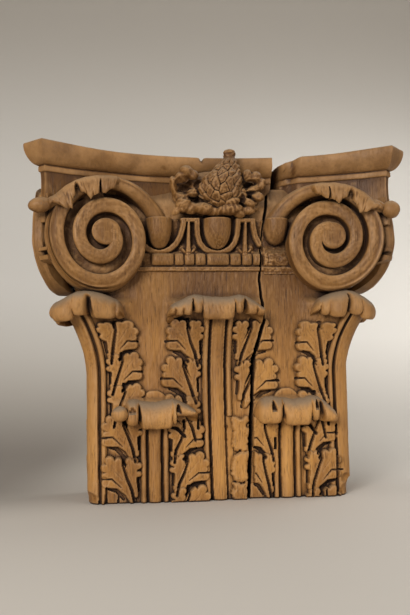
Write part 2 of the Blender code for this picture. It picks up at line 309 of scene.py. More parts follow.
def age(mesh: bpy.types.Mesh, reach: int) -> None:
    """Store on each point how sunk it lies and how sharp an edge it is.

    Args:
        mesh: the finished mesh.
        reach: smoothing steps that the sunk places are judged over.
    """
    count = len(mesh.vertices)
    spots, normals = np.empty((count, 3)), np.empty((count, 3), dtype=np.float32)
    mesh.vertices.foreach_get("co", spots.ravel())
    mesh.vertices.foreach_get("normal", normals.ravel())
    ends = np.empty(len(mesh.edges) * 2, dtype=np.int32)
    mesh.edges.foreach_get("vertices", ends)
    first, second = ends.reshape(-1, 2).T
    degree = np.maximum(np.bincount(first, minlength=count) + np.bincount(second, minlength=count), 1)
    soft = spots.copy()
    fine = np.zeros(count)
    for step in range(reach):
        soft = np.stack([(np.bincount(first, weights=soft[second, k], minlength=count)
                          + np.bincount(second, weights=soft[first, k], minlength=count)) / degree
                         for k in range(3)], axis=1)
        if step == 2:
            fine = np.einsum("ij,ij->i", soft - spots, normals)
    broad = np.einsum("ij,ij->i", soft - spots, normals)
    # the material paints dirt and shade into the sunk places and rubs the sharp edges pale
    for name, values in (("hollow", np.clip(broad / (FULL_HOLLOW * MM), 0, 1)),
                         ("edge", np.clip(-fine / (FULL_EDGE * MM), 0, 1))):
        layer = mesh.attributes.new(name, "FLOAT", "POINT")
        layer.data.foreach_set("value", values.astype(np.float32))


def enter(name: str, bm: Shape, material: Material, reach: int = 24,
          sharp: float = 52.0) -> Piece:
    """Turn a finished shape into a piece of the capital.

    Args:
        name: the piece's name.
        bm: its shape, freed here.
        material: its finish.
        reach: smoothing steps for the sunk places.
        sharp: edges steeper than this, in degrees, are shaded sharp.

    Returns:
        The piece, riding on the capital.
    """
    mesh = bpy.data.meshes.new(name)
    bm.to_mesh(mesh)
    bm.free()
    mesh.shade_smooth()
    mesh.set_sharp_from_angle(angle=math.radians(sharp))
    age(mesh, reach)
    mesh.materials.append(material)
    piece = bpy.data.objects.new(name, mesh)
    bpy.context.scene.collection.objects.link(piece)
    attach(piece, BODY)
    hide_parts(NODE)
    triangles = sum(len(polygon.vertices) - 2 for polygon in mesh.polygons)
    log.info("%s: %d triangles", name, triangles)
    return piece


# ---- the block's plan ----
@dataclass(frozen=True)
class Plan:
    """The block's outline seen from above.

    A place on it is given by its run: 0 in the middle of the front, growing to the right and round
    the corner to the back. On the front the run is X itself.
    """

    half_width: float = 132.0
    front: float = -25.0
    back: float = cad_box[1][1] / MM
    corner: float = 10.0

    @property
    def flat(self) -> float:
        """Half the straight stretch of the front."""
        return self.half_width - self.corner

    @property
    def corner_run(self) -> float:
        """Run of the middle of the right front corner."""
        return self.flat + self.corner * math.pi / 4

    @property
    def end_run(self) -> float:
        """Run of the back edge on the right."""
        return self.flat + self.corner * QUARTER + self.back - self.front - self.corner

    def point(self, run: Array, out: Array) -> tuple[Array, Array]:
        """Place on the plan.

        Args:
            run: runs along the outline.
            out: how far each point stands proud of it.

        Returns:
            X and Y of each point.
        """
        side = np.sign(run)
        past = np.abs(run) - self.flat
        arc = self.corner * QUARTER
        turn = np.clip(past, 0, arc) / self.corner
        radius = self.corner + out
        x = np.where(past <= 0, np.abs(run), self.flat + radius * np.sin(turn))
        y = np.where(past <= 0, self.front - out, self.front + self.corner - radius * np.cos(turn))
        return side * x, y + np.maximum(past - arc, 0)


PLAN = Plan()

# the opened joint: (height, X of its middle, width)
JOINT = [(-5, 26, 4.5), (70, 30, 4.6), (130, 33, 4.4), (150, 36.6, 4.4), (183, 46, 4.4),
         (222, 43, 3), (275, 47, 2.6), (320, 56, 3), (362, 62, 3.2)]
JOINT_END = 48.0  # Y behind which the boards meet
JOINT_LOW = 38.0  # about where it is on the bell, for counting stations
JOINT_HIGH = 45.0  # the same on the egg-and-dart


def joint_edge(z: Array, side: Side) -> Array:
    """X of a board's edge at the opened joint.

    Args:
        z: heights.
        side: which board.

    Returns:
        The edge's X at each height.
    """
    sign = side.value
    ragged = 0.45 * WEAR.rough(z / 9.0, np.full_like(z, 3.0 * sign))
    return through(JOINT, z) + sign * through(JOINT, z, 2) / 2 + ragged


# ---- carving strokes ----
@dataclass(frozen=True)
class Stroke:
    """A tapered line on the carved surface.

    Attributes:
        path: (run, height, radius) of its points.
        start: height or depth at the first point.
        end: the same at the last point.
        roundness: 2 is round, more is flatter with steeper sides.
    """

    path: tuple[Triple, ...]
    start: float = 0.0
    end: float = 0.0
    roundness: float = 2.6

    def reach(self, run: Array, z: Array) -> tuple[Array, Array, Array, Array]:
        """Find the points within the stroke's reach.

        Args:
            run: runs of the surface's points.
            z: their heights.

        Returns:
            Indices of the near points; for each its closeness (1 on the line, 0 at the radius), its
            distance inside the stroke, and how far along the stroke it is.
        """
        path = np.array(self.path, float)
        radius = path[:, 2].max()
        near = np.nonzero((run > path[:, 0].min() - radius) & (run < path[:, 0].max() + radius)
                          & (z > path[:, 1].min() - radius) & (z < path[:, 1].max() + radius))[0]
        px, pz = run[near], z[near]
        best, inside, along = np.full(near.size, -1.0), np.full(near.size, -9.0), np.zeros(near.size)
        count = len(path) - 1
        for k, (a, b) in enumerate(zip(path, path[1:])):
            dx, dz = b[0] - a[0], b[1] - a[1]
            t = np.clip(((px - a[0]) * dx + (pz - a[1]) * dz) / (dx * dx + dz * dz), 0, 1)
            width = a[2] + t * (b[2] - a[2])
            closeness = 1 - np.hypot(px - a[0] - t * dx, pz - a[1] - t * dz) / width
            better = closeness > best
            best = np.where(better, closeness, best)
            inside = np.maximum(inside, closeness * width)
            along = np.where(better, (k + t) / count, along)
        return near, best, inside, along

    def level(self, run: Array, z: Array) -> tuple[Array, Array]:
        """Indices of the points within the stroke's reach, and its height or depth there."""
        near, best, _, along = self.reach(run, z)
        return near, (self.start + (self.end - self.start) * along) * pillow(best, self.roundness)


@dataclass(frozen=True)
class Plate:
    """A flat lobe with a crisp rim, outlined by several strokes and rising towards its tip.

    Attributes:
        strokes: together they cover the plate.
        foot: (run, height) where it is lowest.
        tip: (run, height) where it is highest.
        low: its height at the foot.
        high: its height at the tip.
        rim: width of the rounded rim.
    """

    strokes: tuple[Stroke, ...]
    foot: tuple[float, float]
    tip: tuple[float, float]
    low: float
    high: float
    rim: float = 1.7

    def level(self, run: Array, z: Array) -> tuple[Array, Array]:
        """Indices of the points on the plate and its height there."""
        inside = np.full_like(run, -1.0)
        for stroke in self.strokes:
            near, _, depth, _ = stroke.reach(run, z)
            inside[near] = np.maximum(inside[near], depth)
        near = np.nonzero(inside > 0)[0]
        dx, dz = self.tip[0] - self.foot[0], self.tip[1] - self.foot[1]
        along = ((run[near] - self.foot[0]) * dx + (z[near] - self.foot[1]) * dz) / (dx * dx + dz * dz)
        height = self.low + (self.high - self.low) * np.clip(along, 0, 1.1)
        crown = 0.55 * pillow(inside[near] / 6.5, 2.0) - 0.55
        return near, (height + crown) * pillow(inside[near] / self.rim, 2.4)


@dataclass
class Carving:
    """Everything carved on the bell: lobes raised from it and cuts sunk into it."""

    lobes: list[Stroke | Plate] = field(default_factory=list)
    cuts: list[Stroke] = field(default_factory=list)

    def relief(self, run: Array, z: Array) -> Array:
        """How far the surface stands out at some points (mm)."""
        rise = np.zeros_like(run)
        sink = np.zeros_like(run)
        for target, shapes in ((rise, self.lobes), (sink, self.cuts)):
            for shape in shapes:
                near, level = shape.level(run, z)
                target[near] = np.maximum(target[near], level)
        return rise - sink


@dataclass(frozen=True)
class Leaflet:
    """One leaflet of a half leaf, drawn about the top of the dark slot beside the rib.

    Attributes:
        run: run of the slot's top.
        z: its height.
        reach: how far the fan reaches outwards from it.
        rise: size upwards, 1 for a leaflet 37 mm tall.
        lift: extra height of the whole leaflet.
    """

    DRAWN = 36.0  # reach of the leaflet as drawn below
    WAVER = 0.7

    run: float
    z: float
    reach: float
    rise: float = 1.0
    lift: float = 0.0

    def spot(self, side: Side, u: float, v: float) -> tuple[float, float]:
        """Run and height of a place drawn in the leaflet's own measure."""
        return self.run + side.value * u * self.reach / self.DRAWN, self.z + v * self.rise

    def stroke(self, side: Side, drawn: tuple, start: float = 0.0, end: float = 0.0) -> Stroke:
        """A wavering stroke from (u, v, radius) points in the leaflet's own measure.

        A cut has a depth at its start and comes out narrower than drawn, an outline wider.
        """
        path = []
        for u, v, radius in drawn:
            wave = [self.WAVER * float(WEAR.at(np.array(self.run + u * k), np.array(self.z - v * k)))
                    for k in (1.7, 2.3)]
            run, z = self.spot(side, u + wave[0], v + wave[1])
            path.append((run, z, radius * 0.86 if start > 0 else radius + 0.5))
        return Stroke(tuple(path), start, end, 2.0)

    def carve(self, carving: Carving, side: Side) -> None:
        """Add the leaflet's fan, its inner lobe and its cuts to a carving."""
        fan = (((4.5, -22, 3), (9.5, -5, 6), (19.5, 8.5, 9)),
               ((16, 6, 5), (17.6, 17.6, 4)), ((20, 8, 5), (25.6, 18.6, 4.6)),
               ((20, 8, 5), (30.4, 11.4, 4)), ((20, 4, 5), (29.5, 4.4, 3.4)),
               ((7, -14, 3.4), (17, -4, 5), (29.6, -3.4, 4.3)))
        inner = (((1.4, -16, 2.2), (2.8, 0, 3.3), (4.8, 11, 5.6)), ((2.5, 4, 3), (-1.2, 5, 2.6)),
                 ((3.5, 10, 3), (-1, 12.4, 3)), ((4, 12, 3), (1.8, 17.4, 3)),
                 ((4, 12, 3), (7.6, 17.4, 3.6)))
        for strokes, foot, tip, low, high in ((fan, (5, -22), (27, 12), 3.4, 7.2),
                                              (inner, (1, -16), (4, 18), 4.2, 6.6)):
            carving.lobes.append(Plate(tuple(self.stroke(side, path) for path in strokes),
                                       self.spot(side, *foot), self.spot(side, *tip),
                                       low + self.lift, high + self.lift))
        cuts = (  # the points of each, then its depth at both ends
            (((2.4, -24, 1.5), (5, -11.5, 1.8), (9.4, 0.5, 1.6), (13.6, 13, 1.3)), 4.6, 3.6),
            (((13.6, 13, 1.3), (13, 22, 1.8)), 4.6, 7),
            (((-0.3, 0, 1.6), (-0.9, -11.5, 1.4)), 6.5, 6.5),
            (((26.5, -9.6, 1.2), (19.5, -11.4, 2.1), (12.6, -20, 1.7)), 6.4, 6.4),
            (((15, -8, 0.6), (23.5, 1, 0.9), (34.5, 0.6, 1.2)), 1.1, 3.4),
            (((13.5, 0, 0.5), (21, 10, 0.6), (24, 15, 0.5)), 0.6, 0.3),
        )
        for path, start, end in cuts:
            carving.cuts.append(self.stroke(side, path, start, end))


@dataclass(frozen=True)
class Leaf:
    """A leaf on the bell: its rib with two grooves, and leaflets on both sides.

    Attributes:
        rib: (height, run) of the rib's middle, from the bed up.
        half_rib: half width of the rib.
        rib_height: how far the rib stands out.
        blade: half width of the plain blade beside the rib.
        left: leaflets to the left of the rib.
        right: leaflets to its right.
    """

    rib: Pairs
    half_rib: float
    rib_height: float
    blade: float
    left: tuple[Leaflet, ...]
    right: tuple[Leaflet, ...]

    def carve(self, carving: Carving) -> None:
        """Add the whole leaf to a carving."""
        def line(offset: float, radius: float, start: float, end: float, roundness: float) -> Stroke:
            """A stroke along the rib, moved sideways."""
            path = tuple((run + offset, z, radius) for z, run in self.rib)
            return Stroke(path, start, end, roundness)

        carving.lobes.append(line(0, self.blade, 3.7, 4.2, 7.0))
        carving.lobes.append(line(0, self.half_rib, self.rib_height, self.rib_height + 0.8, 2.1))
        for side, half in ((Side.LEFT, self.left), (Side.RIGHT, self.right)):
            groove, ridge = (side.value * (self.half_rib + gap) for gap in (0.9, 4.6))
            carving.cuts.append(line(groove, 1.5, 4.4, 5.0, 2.0))
            carving.lobes.append(line(ridge, 2.6, 5.0, 5.4, 2.4))
            for leaflet in half:
                leaflet.carve(carving, side)


@dataclass
class Bell:
    """The leafy bell of the capital and how its leaves lean out."""

    upper_top: float = 196.0  # where the upper leaves' tips start
    lower_top: float = 97.0
    upper_lean: float = 13.7  # how far out the upper leaves are just below their tips
    lower_lean: float = 8.0
    patch: Triple = (6.0, 32.0, 84.0)  # left, right and top of the place where the leaves are lost
    ground: float = 2.2  # the deepest cuts
    plan: Plan = PLAN

    def leaves(self) -> list[Leaf]:
        """The centre leaf, two corner leaves and four lower ones."""
        corner = self.plan.corner_run
        side = corner + 62.0
        centre = Leaf(((0, -2.5), (60, -3.5), (100, -3.8), (135, -3.6), (196, -1.6)), 7.2, 5.6, 15,
                      several(Leaflet, (-20.9, 159, 35.5), (-23.6, 121.5, 38.4, 1, 0.4),
                              (-25.0, 84, 38.0, 1.0, 0.8)),
                      several(Leaflet, (16.3, 158.5, 41.5), (18.4, 117.7, 44, 1.05, 0.4)))
        left = Leaf(((0, -corner), (196, -corner)), 7.4, 2.6, 15, self.outer(-corner - 19, 160),
                    several(Leaflet, (-110.8, 159.8, 28.5, 0.9), (-110.6, 128.8, 33, 0.88, 0.4),
                            (-110.0, 97.5, 35.0, 0.9, 0.8)))
        right = Leaf(((0, corner - 2), (196, corner - 2)), 8.6, 3, 16,
                     several(Leaflet, (108.8, 156.5, 29.5, 0.95), (109, 119.5, 32.5, 1, 0.4),
                             (109, 84, 34, 1, 0.8)), self.outer(corner + 19, 160))
        lower_left = Leaf(((0, -67.8), (97, -67.6)), 6.4, 6.4, 14,
                          several(Leaflet, (-83.9, 64.4, 38.6, 0.98, 1), (-85.3, 24.3, 38.3, 1, 1.2)),
                          several(Leaflet, (-50.7, 60.6, 34, 0.9, 1), (-48.8, 27.7, 37.2, 0.9, 1.2),
                                  (-48.0, -5.0, 38.0, 0.9, 1.4)))
        lower_right = Leaf(((0, 66.4), (97, 67.6)), 6.8, 6.4, 14,
                           several(Leaflet, (53.9, 60.4, 28, 0.95, 1), (50.9, 24.2, 26, 0.98, 1.2)),
                           several(Leaflet, (85.9, 63.4, 35.3, 0.98, 1), (88.7, 25.8, 35.6, 1, 1.2),
                                   (89.0, -12.0, 35.0, 1.0, 1.4)))
        sides = [Leaf(((0, run), (97, run)), 6.4, 6.0, 13.0,
                      *(several(Leaflet, *((run + beside, z, 30.0, 0.95, 1.0) for z in (62, 25)))
                        for beside in (-16.5, 16.5)))
                 for run in (-side, side)]
        return [left, centre, right, *sides, lower_left, lower_right]

    @staticmethod
    def outer(run: float, top: float) -> tuple[Leaflet, ...]:
        """Three leaflets of a corner leaf's half on a side face."""
        return tuple(Leaflet(run, top - 33 * n, 31.0 + 2 * n, 0.92, 0.4 * n) for n in range(3))

    def carving(self) -> Carving:
        """All the strokes on the bell."""
        carving = Carving()
        for leaf in self.leaves():
            leaf.carve(carving)
        self.damage(carving)
        return carving

    @staticmethod
    def damage(carving: Carving) -> None:
        """Add splits and broken places near the bed."""
        for run, top, radius in ((-116.5, 17, 1.5), (-122.5, 9, 1.2), (-104.5, 8, 1),
                                 (-12, 14, 1.5), (105, 8, 0.9), (117, 20, 1.6)):
            carving.cuts.append(Stroke(((run, -2, radius * 1.3), (run + 0.8, top, radius * 0.5)),
                                       6.5, 3.0, 2.0))
        for run, z, radius, depth in ((-134, -1, 13, 4.5), (-119, 22, 5, 2.6), (135, 4, 14, 5),
                                      (127, 17, 5, 3.5), (124, 2, 6, 3)):
            carving.cuts.append(Stroke(((run, z, radius), (run + 0.5, z + 1, radius)), depth, depth, 1.6))

    @staticmethod
    def blocks(run: Array, z: Array) -> Array:
        """Level of the three worn blocks left of the joint, below the centre leaf."""
        level = np.zeros_like(run)
        for low, high, left, right, top in ((46.6, 82, 11, 27.5, 5), (18.4, 47.2, 10, 27.5, 6.4),
                                            (-6.0, 18.6, 9.0, 25.5, 6.8)):
            wobble = 2.3 * WEAR.rough(run / 6.5, z / 6.0 + low)
            corner = 2.5 * ramp(6, 0, run - left) * ramp(7, 0, z - low)
            edge = np.minimum(np.minimum(run - left, right - run), np.minimum(z - low, high - z))
            level = np.maximum(level, top * pillow((edge + wobble - corner) / 3.6, 2.2)
                               + 0.5 * WEAR.rough(run / 4, z / 9) * (edge > 2))
        return level

    def out(self, run: Array, z: Array, carving: Carving) -> Array:
        """How far the surface stands out from the block's plan.

        Args:
            run: runs along the outline.
            z: heights.
            carving: the strokes.

        Returns:
            Distance outwards (mm).
        """
        relief = carving.relief(run, z)
        left, right, top = self.patch
        patch = (run > left) & (run < right) & (z < top)
        cleared = np.where(patch, np.minimum(relief, 1.0), relief)
        relief = np.where(patch, np.maximum(cleared, self.blocks(run, z)), relief)
        uneven = 0.28 * WEAR.rough(run / 7, z / 15) + 0.12 * WEAR.at(run / 1.7, z / 9)
        spread = through([(0, 0), (150, 0), (215, 1.5), (285, 4), (300, 1.5), (322, -14)], z)
        relief = np.maximum(relief, -self.ground)
        relief *= 1 - 0.6 * ramp(self.plan.corner_run, self.plan.corner_run + 14, np.abs(run))
        worn = 1.1 * ramp(1.6, 0.0, z)
        worn = worn + 9.0 * bump(261, 24, z) ** 0.25 * ramp(80, 76, np.abs(run))
        return relief * ramp(self.upper_top + 6, self.upper_top - 2, z) + uneven + spread - worn

    def lean(self, run: Array, z: Array) -> tuple[Array, Array]:
        """How far the leaves lean away from the block towards their tips.

        Args:
            run: runs along the outline.
            z: heights.

        Returns:
            Shifts along X and along Y (mm).
        """
        fade = ramp(self.upper_top + 10, self.upper_top, z)
        upper = self.upper_lean * (np.clip(z - 125, 0, 70) / 55) ** 2 * fade
        corner = ramp(50, 12, np.abs(np.abs(run) - self.plan.corner_run)) * upper
        centre = ramp(58, 22, np.abs(run + 3)) * upper * 0.85
        low_fade = ramp(self.lower_top + 7, self.lower_top, z)
        lower = self.lower_lean * (np.clip(z - 48, 0, 52) / 45) ** 2 * low_fade
        tips = sum(ramp(54, 14, np.abs(run - middle)) for middle in (-67.8, 67.0))
        return np.sign(run) * corner, -corner - centre - tips * lower


@dataclass
class Board:
    """One of the bell's two boards: carved skin, joint wall, sawn back and flat bed."""

    side: Side
    bell: Bell
    carving: Carving
    cell: float = 0.75  # spacing of points on the front
    side_cell: float = 1.8
    fine_top: float = 200.0  # above this the bell is plain or covered
    plain: float = 236.0  # and above this the rows are wider still
    top: float = 322.0

    def stations(self) -> list[tuple[Leg, float]]:
        """Stations once round the board.

        On a side face a position is its run. On the front it grows from 0 at the corner to 1 at the
        joint, on the joint's wall to 1 at the back and on the back to 1 at the corner.
        """
        plan = self.bell.plan
        start = plan.flat + plan.corner * QUARTER
        side = np.linspace(plan.end_run, start, round((plan.end_run - start) / self.side_cell))
        arc = np.linspace(start, plan.flat, 19)[1:-1]
        width = plan.flat - self.side.value * JOINT_LOW
        return legs((Leg.SIDE, side), (Leg.SIDE, arc),
                    (Leg.FRONT, np.linspace(0, 1, round(width / self.cell))),
                    (Leg.WALL, np.linspace(0, 1, 11)[1:]), (Leg.BACK, np.linspace(0, 1, 7)[1:-1]))

    def place(self, leg: Array, position: Array, z: Array) -> Array:
        """Points of the board's surface, from places on the way round it and heights."""
        plan, sign = self.bell.plan, self.side.value
        edge = joint_edge(z, self.side)
        front_run = sign * plan.flat + position * (edge - sign * plan.flat)
        run = np.where(leg == Leg.SIDE, sign * position, np.where(leg == Leg.FRONT, front_run, edge))
        out = self.bell.out(run, z, self.carving)
        x, y = plan.point(run, out)
        shift_x, shift_y = self.bell.lean(run, z)
        x, y = x + shift_x, y + shift_y
        depth = np.clip((position * (plan.back - y) / (JOINT_END - plan.front)), 0, 1)
        closed = through(JOINT, z) + sign * 0.15
        wall_x = edge + (closed - edge) * ramp(0.1, 1.0, depth) + 0.3 * WEAR.at(z / 8, position * 6)
        wall_x = np.where(position >= 1, closed, wall_x)
        wall_y = y + position * (plan.back - y)
        end = np.full_like(z, sign * plan.end_run)
        corner_x = plan.point(end, self.bell.out(end, z, self.carving))[0]
        back_x = closed + position * (corner_x - closed)
        x = np.where(leg == Leg.WALL, wall_x, np.where(leg == Leg.BACK, back_x, x))
        y = np.where(leg == Leg.WALL, wall_y, np.where(leg == Leg.BACK, plan.back, y))
        return points(x, y, z)

    def build(self, material: Material) -> Piece:
        """Make the board."""
        fine = np.arange(0, self.fine_top, self.cell)
        heights = np.concatenate([[0.0, 0.4], fine[1:], np.arange(self.fine_top, self.plain, 1.5),
                                  np.linspace(self.plain, self.top, 22)])
        bm = wrapped(self.stations(), heights, self.place)
        return enter(f"board_{self.side.name.lower()}", bm, material, reach=12)


# ---- curled tips ----
def smooth_loop(knots: Pairs, count: int) -> Array:
    """Run a smooth closed line through some points.

    Args:
        knots: corners of the line.
        count: how many points to return, the last one the same as the first.

    Returns:
        Points evenly spaced along the line.
    """
    knots, size = np.array(knots, float), len(knots)
    t = np.linspace(0, size, 16 * size, endpoint=False)
    k, f = np.floor(t).astype(int), (t % 1)[:, None]
    a, b, c, d = (knots[(k + step) % size] for step in (-1, 0, 1, 2))
    dense = 0.5 * (2 * b + (c - a) * f + (2 * a - 5 * b + 4 * c - d) * f ** 2
                   + (3 * b - a - 3 * c + d) * f ** 3)
    dense = np.vstack([dense, dense[:1]])
    length = np.concatenate([[0], np.cumsum(np.hypot(*np.diff(dense, axis=0).T))])
    even = np.linspace(0, length[-1], count)
    return np.stack([np.interp(even, length, dense[:, k]) for k in (0, 1)], axis=1)


@dataclass(frozen=True)
class Lobe:
    """One lobe of a curled tip.

    Attributes:
        middle: where it is along the tip.
        half: half its width.
        drop: how low it hangs, below the track.
        puff: how far it bulges.
        split: how far down the front it parts from its neighbours, 0 at the crest.
    """

    middle: float
    half: float
    drop: float
    puff: float = 1.5
    split: float = 0.5


@dataclass(frozen=True)
class Pit:
    """A slit or eyelet in a curled tip.

    Attributes:
        middle: where it is along the tip.
        half: half its width.
        top: how far below the crest it starts.
        bottom: how far below the crest it ends.
        depth: how deep it is cut.
    """

    middle: float
    half: float
    top: float
    bottom: float
    depth: float = 7.0


@dataclass(frozen=True)
class Track:
    """The line that a curled tip follows.

    Attributes:
        origin: points of the line for stations along it.
        out: the way that the tip bends forward, one direction a station.
        down: the way that it hangs, one direction a station.
    """

    origin: Course
    out: Course = always(0.0, -1.0, 0.0)
    down: Course = always(0.0, 0.0, -1.0)


@dataclass
class Curl:
    """The tip of a leaf, bent forward and hanging in lobes.

    Attributes:
        track: the line it follows.
        start: first station.
        end: last station.
        lobes: its lobes.
        reach: how far the front stands out from the line.
        root: how far it goes back into the wood behind the line.
        ends: length of the rounded ends, start and end; near 0 is a broken end.
        crest: (station, how far the crest sinks there).
        pits: slits and eyelets in the front.
        depth: how far the wood behind the lobes hangs.
        even: the lobes' lower edge is one flowing line.
        bite: how far the gaps between lobes reach up, as a share of the drop.
        step: spacing of the stations.
        rings: points round the section.
        seed: shifts the noise, so that no two tips are worn alike.
    """

    # (forward as a share of reach or root, down as a share of the drop), once round
    SECTION = ((-1, 1), (-1, 0.42), (-0.5, 0.2), (-0.1, 0.06), (0.16, 0), (0.4, 0.015),
               (0.64, 0.1), (0.83, 0.24), (0.95, 0.42), (1, 0.62), (0.97, 0.81), (0.86, 0.95), (0.71, 1),
               (0.6, 0.9), (0.57, 0.7), (0.46, 0.5), (0.16, 0.5), (-0.4, 0.82))

    track: Track
    start: float
    end: float
    lobes: tuple[Lobe, ...]
    reach: float = 17.4
    root: float = 24.0
    ends: tuple[float, float] = (5.0, 5.0)
    crest: Pairs = ((0.0, 0.0),)
    pits: tuple[Pit, ...] = ()
    depth: float = 26.0
    even: bool = False
    bite: float = 0.34
    step: float = 0.55
    rings: int = 56
    seed: float = 0.0

    def lips(self, u: Array) -> tuple[Array, Array, Array, Array]:
        """Fullness, drop, puff and split of the lips at some stations."""
        full, drop, puff, split = (np.full_like(u, value) for value in (0, self.depth * 0.7, 0, 0.5))
        for lobe in self.lobes:
            here = pillow((1 - np.abs(u - lobe.middle) / lobe.half) * max(1.0, lobe.half / 6.0), 2.2)
            values = ((here, full), (lobe.drop, drop), (lobe.puff, puff), (lobe.split, split))
            full, drop, puff, split = (np.where(here > full, new, old) for new, old in values)
        if self.even:
            drop = through(sorted((lobe.middle, lobe.drop) for lobe in self.lobes), u)
        return full, drop, puff, split

    def place(self, ring: Array, u: Array) -> Array:
        """Points of the tip for section numbers and stations."""
        section = smooth_loop(self.SECTION, self.rings + 1)
        o, d = section[ring.astype(int)].T
        full, drop, puff, split = self.lips(u)
        front = ramp(0.05, 0.75, o)
        notch = np.clip((d - split + 0.15) / 0.4, 0, 1)
        notch = notch * notch * (3 - 2 * notch) * front
        out = np.where(o < 0, o * self.root, o * self.reach)
        swell = front * puff * (full - 0.4) * np.clip((d - split + 0.4) / 0.5, 0, 1)
        out = out * (1 - notch * 0.36 * (1 - full)) + swell
        sink = through(self.crest, u)
        drop = np.maximum(drop - sink, 5.0)
        down = d * (self.depth * (1 - front)
                    + front * drop * (1 - self.bite * (1 - full) * ramp(0.3, 1.0, d)))
        lumps = 0.8 * WEAR.rough(u / 8.0 + self.seed, ring * 0.12) + 0.22 * WEAR.at(u / 2.1, ring * 0.4)
        lines = 0.2 * np.sin(u * 1.5 + 4.0 * WEAR.at(u / 7, d * 2 + self.seed)) * ramp(0.15, 0.6, d)
        out += front * (lumps + lines)
        for pit in self.pits:
            along = (down - pit.top) / (pit.bottom - pit.top)
            wide = pit.half * (0.45 + 1.1 * np.clip(along, 0, 1))
            sway = 0.05 * (down - pit.top) + 0.5 * WEAR.at(down / 5, down * 0 + pit.middle)
            gap = np.abs(u - pit.middle - sway) / wide
            out -= (front * pit.depth * ramp(1.2, 0.35, gap) * ramp(0.0, 0.25, along)
                    * ramp(1.2, 1.0, along))
        down += 0.5 * lumps + sink * (0.35 + 0.65 * ramp(-0.9, 0.2, o))
        first, last = (np.clip(gap / max(size, 0.1), 0, 1)
                       for gap, size in ((u - self.start, self.ends[0]), (self.end - u, self.ends[1])))
        size = np.sqrt(1 - (1 - np.minimum(first, last)) ** 2) * 0.97 + 0.03
        heart = 0.42 * self.depth + sink
        out = np.where(out > 0, out * size, out * (0.4 + 0.6 * size))
        down = heart + (down - heart) * size
        return (self.track.origin(u) + self.track.out(u) * out[:, None]
                + self.track.down(u) * down[:, None])

    def shape(self) -> Shape:
        """Make the tip as a closed shape."""
        count = max(round((self.end - self.start) / self.step), 8)
        last = 0.6 * QUARTER  # a sine brings them closer at the ends
        share = np.sin(np.linspace(-last, last, count)) / math.sin(last)
        stations = (self.start + self.end) / 2 + (self.end - self.start) / 2 * share
        return sheet(np.arange(self.rings + 1), stations, self.place)


